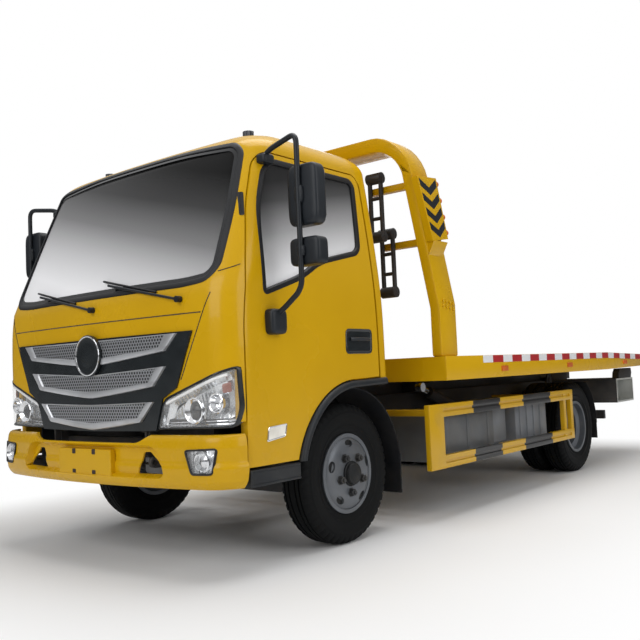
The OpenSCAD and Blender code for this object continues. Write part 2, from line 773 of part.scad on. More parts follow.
module steering_wheel() {
    wheel_x = 540;
    color(trim_black) placed() difference() {
        translate([wheel_x, -600, 1312]) rotate([-38, 0, 0]) {
            rotate_extrude() translate([205, 0]) circle(r = 16);
            translate([0, 0, -30]) cylinder(r = 60, h = 40);
            for (a = [90, 210, 330]) rotate([0, 0, a]) box(40, 200, -18, 18, -12, 4);
            translate([0, 0, -240]) cylinder(r = 28, h = 220);
        }
        dash_prism(seat_gap);
    }
}

module arch_flares() {
    color(trim_black) placed() both_sides() intersection() {
        difference() {
            arch_space(arch_r + flare_w, 950, cab_half_w + 18);
            arch_space(arch_r, 940, cab_half_w + 30);
        }
        side_prism([[0, step_top + seat_gap], [-700, step_top + seat_gap], [-700, 1200], [700, 1200], [320, 880]],
            900, 1100);
    }
}

module cab_steps() {
    inner = 760;
    rear = -500;
    front = -868;
    color(trim_black) placed() both_sides() {
        box(inner, cab_half_w, front, rear, step_top - 12, step_top);
        box(inner, cab_half_w, front, rear, 430, 445);
        box(inner, inner + 20, front, rear, 440, floor_z - 20);
        box(inner, cab_half_w, front, front + 18, 440, step_top - 5);
    }
}

module roof_markers() {
    color([0.9, 0.5, 0.1]) placed() both_sides() difference() {
        translate([635, -410, 2240]) cylinder(r = 32, h = 85);
        cab_form(-seat_gap, 0, 8);
    }
}

module door() {
    difference() {
        union() {
            intersection() {
                cab_wall_form();
                side_prism(door_outline(0, 0), 700, 1200);
            }
            door_hinges(1, door_hinge_r);
        }
        arch_space(arch_r + flare_w + door_gap, 600, 1300);
        side_prism(window_outline(0), 600, 1300);
        door_hinges(0, door_hinge_r + 1);
    }
}

module door_left() {
    color(body_yellow) placed() door();
}

module door_right() {
    color(body_yellow) placed() mirror([1, 0, 0]) door();
}

module door_glass() {
    intersection() {
        difference() {
            cab_form(14, 0, nose_last);
            cab_form(14 + glass_t, 40, nose_last);
        }
        side_prism(window_outline(-1), 700, 1200);
    }
}

module door_glass_left() {
    color(glass_tint) placed() door_glass();
}

module door_glass_right() {
    color(glass_tint) placed() mirror([1, 0, 0]) door_glass();
}

mirror_x = 1203;
module mirror_set() {
    tube_r = 14;
    stem = mirror_x - 60;
    foot = [cab_half_w + 40, -670, 1262];
    difference() {
        union() {
            front_prism(rounded(mirror_x - 95, mirror_x + 95, 1684, 1992, 45), -650, -560);
            front_prism(rounded(mirror_x - 95, mirror_x + 95, 1488, 1628, 40), -650, -560);
            bar([stem, -600, 1370], [stem, -600, 2140], tube_r);
            for (z = [1370, 2140]) translate([stem, -600, z]) sphere(r = tube_r + 2);
            bar([cab_half_w - 105, -600, 2076], [stem, -600, 2140], tube_r - 1);
            bar([stem, -600, 1370], foot, tube_r - 1);
            side_prism(rounded(-720, -620, 1165, 1275, 20), cab_half_w - 30, cab_half_w + 55);
        }
        cab_form(-seat_gap);
    }
}

module mirror_left() {
    color(trim_black) placed() mirror_set();
}

module mirror_right() {
    color(trim_black) placed() mirror([1, 0, 0]) mirror_set();
}

// A left front knuckle: kingpin lugs, spindle, brake plate and steering arm
module knuckle() {
    hub_face = front_wheel_x - 30 - kingpin_x - seat_gap;
    translate([kingpin_x, 0, axle_z]) {
        translate([0, 0, -92]) cylinder(r = kingpin_r, h = 184);
        for (z = [-90, 48]) translate([0, 0, z]) cylinder(r = kingpin_r + 16, h = 42);
        box(0, 66, -30, 30, -90, -48);
        box(0, 66, -30, 30, 48, 90);
        box(46, 66, -45, 45, -90, 90);
        rotate([0, 90, 0]) translate([0, 0, 50]) cylinder(r = spindle_r, h = 150);
        rotate([0, 90, 0]) translate([0, 0, 50]) cylinder(r = spindle_r + 14, h = hub_face - 50);
        box(-30, 14, 0, 200, -88, -60);
    }
}

module knuckle_left() {
    color(chassis_black) placed() knuckle();
}

module knuckle_right() {
    color(chassis_black) placed() mirror([1, 0, 0]) knuckle();
}

// A tyre about local Z, as [radius, z]
module tyre() {
    half = tyre_w / 2;
    bead = rim_r - 14;
    seat = rim_w / 2 - 14.6;
    crown = tyre_r;
    rotate_extrude() polygon([[bead, -seat], [rim_r + 6, -seat - 6], [rim_r + 50, -half + 4],
        [rim_r + 90, -half], [crown - 42, -half + 8], [crown - 12, -half + 20], [crown, -half + 38],
        [crown, half - 38], [crown - 12, half - 20], [crown - 42, half - 8], [rim_r + 90, half],
        [rim_r + 50, half - 4], [rim_r + 6, seat + 6], [bead, seat]]);
}

// A rim about local Z: its disc goes from the nave at z = nave to the edge at [edge_r, edge_z], with oval hand
// holes in a ring of radius hole_ring
module rim(nave, edge_r, edge_z, hole_ring, hole_r) {
    f = rim_w / 2;
    bead = rim_r - 14.3;
    well = rim_r - 52;
    mid_r = 128 + (edge_r - 128) * 0.4;
    mid_z = nave + (edge_z - nave) * 0.3;
    rotate_extrude() polygon([[rim_r, f], [rim_r, f - 10], [bead, f - 12], [bead - 2, f - 42],
        [well, f - 62], [well, -f + 50], [bead - 2, -f + 36], [bead, -f + 12], [rim_r, -f + 10],
        [rim_r, -f], [bead - 8, -f], [bead - 12, -f + 40], [well - 8, -f + 54], [well - 8, f - 66],
        [bead - 12, f - 46], [bead - 8, f]]);
    difference() {
        rotate_extrude() polygon([[60, nave - disc_t / 2], [126, nave - disc_t / 2],
            [mid_r - 4, mid_z - disc_t / 2], [edge_r, edge_z - disc_t], [edge_r, edge_z + disc_t / 2],
            [mid_r + 4, mid_z + disc_t / 2], [130, nave + disc_t / 2], [60, nave + disc_t / 2]]);
        for (i = [0:hole_count - 1]) rotate([0, 0, 360 * i / hole_count]) for (side = [-1, 1])
            translate([hole_ring, side * hole_r / 2, -150]) cylinder(r = hole_r, h = 300);
    }
}

front_nave = 100;
module front_rim() {
    difference() {
        union() {
            rim(front_nave, rim_r - 30, rim_w / 2 - 49, 166, 19);
            translate([0, 0, -20]) cylinder(r = 75, h = front_nave + 20);
            translate([0, 0, front_nave - 1]) cylinder(r = 58, h = 36);
            translate([0, 0, -30]) cylinder(r = 140, h = 60);
        }
        translate([0, 0, -40]) cylinder(r = spindle_r + run_gap, h = kingpin_x + 206 - front_wheel_x + 40);
    }
}

module rear_rims() {
    hub_l = 110;
    nave = twin_pitch / 2 - disc_t / 2;
    edge_r = rim_r - 56;
    difference() {
        union() {
            translate([0, 0, -twin_pitch / 2]) rim(nave, edge_r, nave / 4, 142, 14);
            translate([0, 0, twin_pitch / 2]) rim(-nave, edge_r, -nave / 4, 142, 14);
            translate([0, 0, -twin_pitch / 2 - 40]) cylinder(r = 78, h = twin_pitch / 2 + 40 + hub_l);
            translate([0, 0, -twin_pitch / 2 - 40]) cylinder(r = 140, h = 60);
        }
        translate([0, 0, -twin_pitch]) cylinder(r = spindle_r + run_gap, h = twin_pitch + 66);
    }
}

module wheel_place(x, y) {
    placed() translate([x, y, axle_z]) rotate([0, 90, 0]) children();
}

module tyre_front_left() {
    color(trim_black) wheel_place(front_wheel_x, 0) tyre();
}

module tyre_front_right() {
    mirror([1, 0, 0]) tyre_front_left();
}

module rim_front_left() {
    color(steel_grey) wheel_place(front_wheel_x, 0) front_rim();
}

module rim_front_right() {
    mirror([1, 0, 0]) rim_front_left();
}

module tyres_rear_left() {
    color(trim_black) for (side = [-1, 1])
        wheel_place(rear_wheel_x + side * twin_pitch / 2, wheelbase) tyre();
}

module tyres_rear_right() {
    mirror([1, 0, 0]) tyres_rear_left();
}

module rims_rear_left() {
    color(steel_grey) wheel_place(rear_wheel_x, wheelbase) rear_rims();
}

module rims_rear_right() {
    mirror([1, 0, 0]) rims_rear_left();
}

tilt_beam_h = 96;
tilt_beam_x = 330;
module tilt_frame() {
    tail = deck_tail - 150;
    pads_y = [1000, 1700, 2400, 3100, hinge_y - 120];
    cross_pitch = (tail - 430 - 900) / 5;
    color(chassis_black) placed() {
        both_sides() {
            box(tilt_beam_x - 60, tilt_beam_x, 860, tail, tilt_top - tilt_beam_h, tilt_top);
            bar_x(tilt_beam_x - 1, frame_half_w + 26, hinge_y, hinge_z, hinge_r);
            for (y = pads_y)
                box(tilt_beam_x - 1, 455, y, y + 70, tilt_top - 30, tilt_top);
            box(tilt_beam_x - 1, cylinder_x - 32, eye_y - 12, eye_y + 12, eye_z - 30, tilt_top);
        }
        for (i = [0:5]) let (y = 900 + i * cross_pitch)
            box(-tilt_beam_x + 30, tilt_beam_x - 30, y, y + 70, tilt_top - 80, tilt_top - 10);
    }
}

tail_box_x = 1000;
tail_box_front = deck_tail - 665;
tail_box_rear = deck_tail - 190;
tail_box_bottom = 545;
tail_box_top = tilt_top - tilt_beam_h - 4;
module tail_box() {
    color(chassis_black) placed() {
        difference() {
            box(-tail_box_x, tail_box_x, tail_box_front, tail_box_rear, tail_box_bottom, tail_box_top);
            box(-tail_box_x - 1, tail_box_x + 1, tail_box_front + 8, tail_box_rear - 8,
                tail_box_bottom + 8, tail_box_top - 8);
        }
        both_sides() side_prism([[tail_box_front + 30, tail_box_top - 2], [tail_box_rear - 60, tail_box_top - 2],
            [tail_box_rear - 60, tilt_top], [tail_box_front + 30, tilt_top]], tilt_beam_x, tilt_beam_x + 12);
        both_sides() side_prism([[tail_box_front + 90, tail_box_top - 2], [tail_box_rear - 20, tail_box_top - 2],
            [tail_box_rear + 6, tail_box_top + 46], [tail_box_rear - 8, tilt_top - 6],
            [tail_box_front + 150, tilt_top - 6], [tail_box_front + 110, tilt_top - 40]],
            tail_box_x - 70, tail_box_x - 6);
    }
}

module tail_lamps() {
    color([0.6, 0.05, 0.04]) placed() both_sides()
        box(640, 960, tail_box_rear, tail_box_rear + 26, 600, 710);
}

// Side view of the deck's rail as [y, z]
function deck_profile(drop) = [
    [deck_front, deck_bottom], [deck_tail - tail_l, deck_bottom],
    [deck_tail, deck_top - tail_drop - deck_tail_h], [deck_tail, deck_top - tail_drop - drop],
    [deck_tail - tail_l, deck_top - drop], [deck_front, deck_top - drop]];
rail_face = 60;
platform_half_w = gantry_half_w - post_w - 2;
module deck() {
    color(body_yellow) placed() {
        both_sides() side_prism(deck_profile(0), deck_half_w - rail_face, deck_half_w);
        side_prism([[deck_front, deck_top - floor_t - 4], [deck_tail - tail_l, deck_top - floor_t - 4],
            [deck_tail, deck_top - tail_drop - floor_t - 4], [deck_tail, deck_top - tail_drop - 4],
            [deck_tail - tail_l, deck_top - 4], [deck_front, deck_top - 4]],
            -deck_half_w + 1, deck_half_w - 1);
        box(-deck_half_w + 1, deck_half_w - 1, deck_front, deck_front + 40, deck_bottom, deck_top - 1);
        for (y = [deck_front + 500:520:deck_tail - tail_l])
            box(-deck_half_w + 1, deck_half_w - 1, y, y + 50, deck_top - cross_h, deck_top - 5);
        both_sides() box(400, 460, deck_front + 1, deck_tail - tail_l, deck_bottom, deck_top - 5);
        box(-platform_half_w, platform_half_w, deck_front + 1, deck_front + 480, deck_top - 5, deck_top);
        side_prism([[deck_tail - 60, deck_top - tail_drop - deck_tail_h + 2], [deck_tail, deck_top - tail_drop - 60],
            [deck_tail, deck_top - tail_drop - 4], [deck_tail - 60, deck_top - tail_drop - 4]],
            -deck_half_w + 1, deck_half_w - 1);
    }
}

// Side view of the gantry as [y, z]: upright foot, then leaning towards the cab
gantry_y = deck_front + gantry_foot;
function lean(z) = (z - gantry_bend_z) * tan(gantry_lean);
rungs_z = [gantry_top - 300, gantry_top - 650];
rung_h = 44;
rung_end = 720;
function rung_y(z) = gantry_y + 90 - lean(z);
module gantry() {
    color(body_yellow) placed() {
        both_sides() for (z = rungs_z) box(rung_end, gantry_half_w - post_w + 1, rung_y(z) - rung_h / 2,
            rung_y(z) + rung_h / 2, z - rung_h / 2, z + rung_h / 2);
        gantry_arch();
    }
}

module gantry_arch() {
    intersection() {
        difference() {
            front_prism(concat([[-gantry_half_w, deck_top], [gantry_half_w, deck_top]],
                arc(gantry_half_w - 250, gantry_top - 250, 250, 0, 90, 8),
                arc(-gantry_half_w + 250, gantry_top - 250, 250, 90, 180, 8)), 200, 1300);
            front_prism(concat([[-gantry_half_w + post_w, deck_top - 1], [gantry_half_w - post_w, deck_top - 1]],
                arc(gantry_half_w - 250, gantry_top - 250 - 14, 250 - post_w, 0, 90, 8),
                arc(-gantry_half_w + 250, gantry_top - 250 - 14, 250 - post_w, 90, 180, 8)), 199, 1301);
        }
        side_prism([[gantry_y, deck_top - 2], [gantry_y + post_d, deck_top - 2],
            [gantry_y + post_d, gantry_bend_z + 30], [gantry_y + post_d - lean(gantry_top + 10) - 15, gantry_top + 10],
            [gantry_y - lean(gantry_top + 10), gantry_top + 10], [gantry_y, gantry_bend_z]], -1300, 1300);
    }
}

light_box_t = 45;
light_box_z = [gantry_top - 665, gantry_top - 280];
function light_box_rear(z) = gantry_y + post_d + 4 - lean(z);
module light_boxes() {
    z0 = light_box_z[0];
    z1 = light_box_z[1];
    color(body_yellow) placed() both_sides() {
        side_prism([[gantry_y + 10 - lean(z0), z0], [light_box_rear(z0 + 30), z0 + 30],
            [light_box_rear(z1 + 20), z1 + 20], [gantry_y - 20 - lean(z1), z1]],
            gantry_half_w, gantry_half_w + light_box_t);
        front_prism([[gantry_half_w, z0 - 80], [gantry_half_w + light_box_t, z0 + 8], [gantry_half_w, z0 + 8]],
            gantry_y + 26 - lean(z0), light_box_rear(z0) - 16);
    }
}

module marker_lamps() {
    color([0.9, 0.4, 0.05]) placed() both_sides() {
        for (k = [0.193, 0.477, 0.801]) let (y = deck_front + k * (deck_tail - deck_front))
            box(deck_half_w, deck_half_w + 10, y - 45, y + 45, deck_bottom + 40, deck_bottom + 76);
        for (k = [0.1, 0.36, 0.63, 0.9]) let (z = light_box_z[0] + 30 + k * (light_box_z[1] - light_box_z[0] - 10))
            translate([gantry_half_w + light_box_t / 2, light_box_rear(z) + seat_gap, z]) rotate([gantry_lean - 90, 0, 0])
                cylinder(r = 20, h = 24);
    }
}

module winch() {
    y = deck_front + 330;
    color(chassis_black) placed() translate([0, y, deck_top]) {
        both_sides() box(180, 196, -110, 110, 0, 230);
        bar_x(-181, 181, 0, 120, 62);
        bar_x(195, 360, 0, 120, 70);
        box(-196, 196, -120, 120, 0, 14);
    }
}

// A stowed dolly hangs on each rung: two tubes, cross tubes and rollers
module wheel_dollies() {
    tube_r = 15;
    tubes_x = [rung_end + 28, rung_end + 112];
    color(chassis_black) placed() both_sides() for (z = rungs_z) {
        y = rung_y(z) - rung_h / 2 - tube_r - seat_gap;
        for (x = tubes_x) bar([x, y, z - 300], [x, y, z + 80], tube_r);
        for (h = [-50, -180]) bar_x(tubes_x[0], tubes_x[1], y, z + h, tube_r - 3);
        for (h = [-300, 80]) bar_x(tubes_x[0] - 12, tubes_x[1] + 12, y, z + h, 36);
    }
}

module tilt_barrels() {
    color(chassis_black) both_sides() placed() difference() {
        union() {
            bar(barrel_foot, barrel_foot + cylinder_way * 0.82, 42);
            bar_x(cylinder_x - 25, cylinder_x + 25, barrel_y, barrel_z, 36);
        }
        bar_x(cylinder_x - 60, cylinder_x + 60, barrel_y, barrel_z, barrel_pin_r + run_gap);
        bar(barrel_foot + cylinder_way * 0.12, barrel_foot + cylinder_way * 0.9, 24 + run_gap);
    }
}

module tilt_rods() {
    color(steel_grey) both_sides() placed() {
        bar(barrel_foot + cylinder_way * 0.13, barrel_foot + cylinder_way * 0.985, 24);
        bar_x(cylinder_x - 25, cylinder_x + 25, eye_y, eye_z, 34);
    }
}

frame_rails();
sub_frame();
engine_block();
front_axle();
leaf_springs();
rear_axle();
propshaft();
exhaust();
front_bumper();
fog_lamps();
front_mudguards();
rear_mudguards();
fuel_tank();
side_boxes();
side_guards();
underrun_bar();
cab_shell();
cab_floor();
cab_glass();
grille();
grille_bands();
headlamps();
wipers();
seats();
dashboard();
steering_wheel();
arch_flares();
cab_steps();
roof_markers();
door_left();
door_right();
door_glass_left();
door_glass_right();
mirror_left();
mirror_right();
knuckle_left();
knuckle_right();
tyre_front_left();
tyre_front_right();
rim_front_left();
rim_front_right();
tyres_rear_left();
tyres_rear_right();
rims_rear_left();
rims_rear_right();
tilt_frame();
tail_box();
tail_lamps();
deck();
gantry();
light_boxes();
marker_lamps();
winch();
wheel_dollies();
tilt_barrels();
tilt_rods();
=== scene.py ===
import math

import bmesh
import bpy
import numpy as np
from mathutils import Matrix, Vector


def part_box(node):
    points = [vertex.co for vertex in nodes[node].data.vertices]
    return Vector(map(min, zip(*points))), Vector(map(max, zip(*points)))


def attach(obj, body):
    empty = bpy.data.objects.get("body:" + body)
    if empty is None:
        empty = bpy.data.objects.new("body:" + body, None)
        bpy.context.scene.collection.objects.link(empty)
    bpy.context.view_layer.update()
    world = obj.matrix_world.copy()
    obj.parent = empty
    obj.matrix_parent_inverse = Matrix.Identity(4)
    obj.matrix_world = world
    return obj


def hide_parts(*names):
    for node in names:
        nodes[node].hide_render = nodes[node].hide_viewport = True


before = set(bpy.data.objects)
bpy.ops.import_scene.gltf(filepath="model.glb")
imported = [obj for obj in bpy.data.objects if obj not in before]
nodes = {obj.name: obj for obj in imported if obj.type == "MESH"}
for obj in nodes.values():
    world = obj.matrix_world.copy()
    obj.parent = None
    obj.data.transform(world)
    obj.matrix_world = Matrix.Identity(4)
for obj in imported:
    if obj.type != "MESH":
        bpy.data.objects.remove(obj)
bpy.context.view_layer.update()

# The stage: the photograph's camera, a pale floor that takes the truck's shadow, and soft studio light.
# The floor fades to plain white away from the truck, so that no horizon shows.
CAMERA_AT, LENS, CLIP_END = (3.68693, -5.48708, 0.966), 44.91, 400.0
YAW, PITCH, ROLL = np.radians((39.06, 3.71, -2.48))
FLOOR_HALF, FADE_X, FADE_Y, AMBIENT, WHITE = 90.0, 0.9, 2.6, 0.26, (1, 1, 1, 1)


def unit(vectors):
    """Vectors made one long."""
    return vectors / np.linalg.norm(vectors, axis=-1, keepdims=True)


def stand(name, data, axes, at):
    """Puts a camera or a lamp at a point, its three axes given as rows."""
    holder = bpy.data.objects.new(name, data)
    bpy.context.scene.collection.objects.link(holder)
    holder.matrix_world = Matrix([[*row, place] for row, place in zip(np.array(axes).T, at)] + [[0, 0, 0, 1]])
    return holder


ahead = np.array([-math.sin(YAW) * math.cos(PITCH), math.cos(YAW) * math.cos(PITCH), math.sin(PITCH)])
level = np.array([math.cos(YAW), math.sin(YAW), 0.0])
upward = np.cross(level, ahead)
camera_x = level * math.cos(ROLL) + upward * math.sin(ROLL)
camera_y = upward * math.cos(ROLL) - level * math.sin(ROLL)
camera = stand("camera", bpy.data.cameras.new("camera"), [camera_x, camera_y, -ahead], CAMERA_AT)
camera.data.sensor_width, camera.data.lens, camera.data.clip_end = 36.0, LENS, CLIP_END
bpy.context.scene.camera = camera
bpy.context.scene.view_settings.view_transform = "Standard"


class Tone:
    """One output socket of a node tree. Operators on it add Math nodes, and make() adds any other node."""

    def __init__(self, tree, socket=None):
        self.tree, self.socket = tree, socket

    def make(self, kind, settings=None, inputs=None, out=0):
        """Adds a node of that kind: settings first, ramp stops among them, then a value or a link for each socket."""
        node = self.tree.nodes.new(kind)
        for key, value in (settings or {}).items():
            if key == "stops":
                ramp = node.color_ramp
                while len(ramp.elements) < len(value):
                    ramp.elements.new(1.0)
                for element, (place, colour) in zip(ramp.elements, value):
                    element.position, element.color = place, (*colour, 1.0)
            else:
                setattr(node, key, value)
        for key, value in (inputs or {}).items():
            if isinstance(value, Tone):
                self.tree.links.new(value.socket, node.inputs[key])
            else:
                node.inputs[key].default_value = value
        return Tone(self.tree, node.outputs[out] if len(node.outputs) else None)

    def maths(self, operation, *values):
        return self.make("ShaderNodeMath", {"operation": operation}, dict(enumerate(values)))

    def __add__(self, other): return self.maths("ADD", self, other)
    def __radd__(self, other): return self.maths("ADD", other, self)
    def __sub__(self, other): return self.maths("SUBTRACT", self, other)
    def __rsub__(self, other): return self.maths("SUBTRACT", other, self)
    def __mul__(self, other): return self.maths("MULTIPLY", self, other)
    def __rmul__(self, other): return self.maths("MULTIPLY", other, self)
    def __gt__(self, other): return self.maths("GREATER_THAN", self, other)
    def __lt__(self, other): return self.maths("LESS_THAN", self, other)
    def __mod__(self, other): return self.maths("FLOORED_MODULO", self, other)
    def __abs__(self): return self.maths("ABSOLUTE", self)

    def ramp(self, low, high):
        """0 below low and 1 above high, with a soft step between."""
        return self.make("ShaderNodeMapRange", {"interpolation_type": "SMOOTHSTEP"},
                         {"Value": self, "From Min": low, "From Max": high})

    def axes(self):
        """The three parts of a vector."""
        split = self.make("ShaderNodeSeparateXYZ", inputs={0: self}).socket.node
        return [Tone(self.tree, socket) for socket in split.outputs]

    def noise(self, scale, detail=2.0):
        """Cloudy values about a half, on this vector."""
        return self.make("ShaderNodeTexNoise", None, {"Vector": self, "Scale": scale, "Detail": detail})

    def blend(self, first, second):
        """first where this is 0 and second where it is 1; both are colours."""
        return self.make("ShaderNodeMix", {"data_type": "RGBA"}, {0: self, 6: first, 7: second}, out=2)


def finish_of(name, colour, roughness, **constants):
    """A material with one Principled shader. Its fixed values are set on the shader's own sockets.
    Returns the material, a Tone that reads the piece's own coordinates, and a linker for the shader's sockets."""
    material = bpy.data.materials.new(name)
    material.use_nodes = True
    tree = material.node_tree
    shader = tree.nodes["Principled BSDF"]
    shader.inputs["Base Color"].default_value = (*colour, 1.0)
    shader.inputs["Roughness"].default_value = roughness
    for key, value in constants.items():
        shader.inputs[key.replace("_", " ")].default_value = value

    def link(socket, tone):
        tree.links.new(tone.socket, shader.inputs[socket])

    return material, Tone(tree).make("ShaderNodeTexCoord", out=3), link


def rays_of(tone):
    """1 for a ray that comes from the camera or through glass, and 1 for a ray that a surface mirrors."""
    kinds = tone.make("ShaderNodeLightPath").socket.node.outputs
    names = ("Is Camera Ray", "Is Transmission Ray", "Is Glossy Ray")
    direct, through, glossy = (Tone(tone.tree, kinds[name]) for name in names)
    return direct.maths("MAXIMUM", direct, through), glossy


floor_mesh = bpy.data.meshes.new("floor")
floor_corners = [(FLOOR_HALF * x, FLOOR_HALF * y, 0) for x, y in ((-1, -1), (1, -1), (1, 1), (-1, 1))]
floor_mesh.from_pydata(floor_corners, [], [(0, 1, 2, 3)])
floor = bpy.data.objects.new("floor", floor_mesh)
bpy.context.scene.collection.objects.link(floor)
floor_finish, floor_at, _ = finish_of("pale_floor", (0.88, 0.88, 0.88), 0.9, Specular_IOR_Level=0.0)
floor_tree = floor_finish.node_tree
floor_x, floor_y, _ = floor_at.axes()
beside, beyond = (at.maths("MAXIMUM", abs(at) - half, 0.0) for at, half in ((floor_x, FADE_X), (floor_y, FADE_Y)))
away = (beside * beside + beyond * beyond).ramp(0.05, 3.5)
glow = floor_at.make("ShaderNodeEmission", None, {"Color": WHITE, "Strength": 1.0})
plain = Tone(floor_tree, floor_tree.nodes["Principled BSDF"].outputs[0])
floor_mix = floor_at.make("ShaderNodeMixShader", None, {0: rays_of(floor_at)[0] * away, 1: plain, 2: glow})
floor_tree.links.new(floor_mix.socket, floor_tree.nodes["Material Output"].inputs[0])
floor_mesh.materials.append(floor_finish)

world = bpy.data.worlds.new("studio")
world.use_nodes = True
bpy.context.scene.world = world
sky = Tone(world.node_tree)
sky_seen, sky_mirrored = rays_of(sky)
sky_height = abs(sky.make("ShaderNodeNewGeometry", out=4).axes()[2])
sky_glow = 0.10 + sky_height.ramp(0.05, 0.75) * 0.75
sky_level = AMBIENT + sky_seen * (1.0 - AMBIENT) + sky_mirrored * (sky_glow - AMBIENT)
background = world.node_tree.nodes["Background"]
background.inputs["Color"].default_value = WHITE
world.node_tree.links.new(sky_level.socket, background.inputs["Strength"])


def soft_light(name, at, aim, size, power):
    """A square softbox at one point, facing another."""
    lamp = bpy.data.lights.new(name, "AREA")
    lamp.shape, lamp.size, lamp.energy = "SQUARE", size, power
    back = unit(np.subtract(at, aim))
    side = unit(np.cross((0, 0, 1), back))
    stand(name, lamp, [side, np.cross(back, side), back], at)


soft_light("overhead_softbox", (1.0, -0.5, 8.0), (0, 0.01, 0), 6.0, 390)
soft_light("front_softbox", (1.0, -9.0, 4.5), (0, -2.5, 1.2), 5.0, 230)
soft_light("left_softbox", (8.5, -1.5, 3.8), (0.8, -0.8, 1.0), 5.0, 190)
soft_light("back_softbox", (-6.0, 7.5, 4.5), (0, 1.0, 1.0), 5.0, 160)

# Chassis: pressed steel rails, cross members, springs and axles, all sprayed satin black and a little dusty.
# They are bolted and welded, and carry everything else.
AXLE_Y, DUST = -1.8825, (0.16, 0.14, 0.11, 1)


def relief(at, link, height, distance, strength=0.5):
    """Feeds a height to the shader's normal."""
    link("Normal", at.make("ShaderNodeBump", None, {"Strength": strength, "Distance": distance, "Height": height}))


def dusty(name, colour, roughness, amount=0.35, grain=900.0, **constants):
    """A sprayed or moulded surface: cloudy tone, dust that thickens towards the road, and a fine grain."""
    material, at, link = finish_of(name, colour, roughness, **constants)
    height = at.axes()[2]
    cloud = at.noise(7.0, 4.0)
    cover = (1.0 - height.ramp(0.15, 1.3)) * cloud.ramp(0.35, 0.75) * amount
    pale = tuple(c * 1.5 + 0.004 for c in colour)
    link("Base Color", cover.blend(at.noise(3.0, 3.0).ramp(0.3, 0.8).blend((*colour, 1), (*pale, 1)), DUST))
    link("Roughness", roughness + cover * 0.3 + (cloud - 0.5) * 0.12)
    relief(at, link, at.noise(grain, 2.0), 0.0004)
    return material


soft_edges = bpy.data.node_groups.new("soft_edges", "GeometryNodeTree")
soft_edges.interface.new_socket("Geometry", in_out="INPUT", socket_type="NodeSocketGeometry")
soft_edges.interface.new_socket("Geometry", in_out="OUTPUT", socket_type="NodeSocketGeometry")
edge = Tone(soft_edges)
edge_shape = edge.make("NodeGroupInput")
edge_flat = edge.make("FunctionNodeCompare", {"operation": "LESS_THAN"},
                      {0: edge.make("GeometryNodeInputMeshEdgeAngle"), 1: math.radians(32)})
edge_soft = edge.make("GeometryNodeSetShadeSmooth", {"domain": "FACE"}, {0: edge_shape, 2: True})
edge_soft = edge.make("GeometryNodeSetShadeSmooth", {"domain": "EDGE"}, {0: edge_soft, 2: edge_flat})
edge.make("NodeGroupOutput", None, {0: edge_soft})


def rounded(item, width, segments, degrees):
    """Rounds an object's edges that are sharper than an angle, by a width in metres."""
    rounding = item.modifiers.new("rounding", "BEVEL")
    rounding.width, rounding.segments = width, segments
    rounding.limit_method, rounding.angle_limit = "ANGLE", math.radians(degrees)


def dress(material, *names, bevel=0.0):
    """Gives CAD nodes a material, joins their loose triangles, rounds their edges by bevel in metres and
    shades them smooth up to a fixed angle."""
    for name in names:
        node = nodes[name]
        node.data.materials.clear()
        node.data.materials.append(material)
        node.modifiers.new("weld", "WELD").merge_threshold = 0.00005
        if bevel:
            rounded(node, bevel, 2, 40)
        node.modifiers.new("shading", "NODES").node_group = soft_edges


chassis_black = dusty("chassis_black", (0.018, 0.018, 0.02), 0.5)
dress(chassis_black, "frame_rails", "sub_frame", "front_axle", "leaf_springs", "rear_axle", "propshaft",
      "underrun_bar", "knuckle_left", "knuckle_right", "cab_floor")
engine_grey = dusty("cast_grey", (0.16, 0.16, 0.165), 0.6, grain=260.0)
dress(engine_grey, "engine_block", bevel=0.02)
exhaust_steel = dusty("exhaust_steel", (0.32, 0.30, 0.28), 0.5, Metallic=0.8)
dress(exhaust_steel, "exhaust")

# Tyres: radial truck tyres with four grooves round the tread, notched shoulders and ringed side walls.
# Each is moulded rubber on a pressed steel rim; the rear ones stand in pairs.
TYRE_R, FRONT_WHEEL_X, REAR_WHEEL_X, WHEELBASE, TWIN_PITCH = 390.0, 832.0, 738.0, 3308.0, 226.0
SIDES = (("left", 1), ("right", -1))


def sheet(grid, around=False):
    """Faces between neighbouring points of a grid of rows and columns; around joins the last column to the first."""
    index = np.arange(grid.shape[0] * grid.shape[1]).reshape(grid.shape[:2])
    if around:
        index = np.hstack([index, index[:, :1]])
    faces = np.stack([index[:-1, :-1], index[:-1, 1:], index[1:, 1:], index[1:, :-1]], -1).reshape(-1, 4)
    return grid.reshape(-1, 3), faces.tolist()


def capped(grid):
    """A grid whose columns run round, closed by a flat face at its first and last row."""
    points, faces = sheet(grid, around=True)
    count = grid.shape[1]
    return points, faces + [list(range(count))[::-1], list(range(len(points) - count, len(points)))]


def joined(*surfaces):
    """Several surfaces as one."""
    starts = np.cumsum([0] + [len(points) for points, _ in surfaces])
    faces = [[i + int(start) for i in face] for (_, own), start in zip(surfaces, starts) for face in own]
    return np.concatenate([points for points, _ in surfaces]), faces


def mirrored(surface):
    """The same surface on the truck's other side."""
    return surface[0] * (-1, 1, 1), [face[::-1] for face in surface[1]]


def paired(surface):
    """A surface on the left and its mirror image on the right."""
    return joined(surface, mirrored(surface))


def mesh_of(name, surface):
    """A mesh of a surface, with its faces turned outwards."""
    mesh = bpy.data.meshes.new(name)
    mesh.from_pydata(surface[0].tolist(), [], surface[1])
    shape = bmesh.new()
    shape.from_mesh(mesh)
    bmesh.ops.recalc_face_normals(shape, faces=shape.faces)
    shape.to_mesh(mesh)
    shape.free()
    return mesh


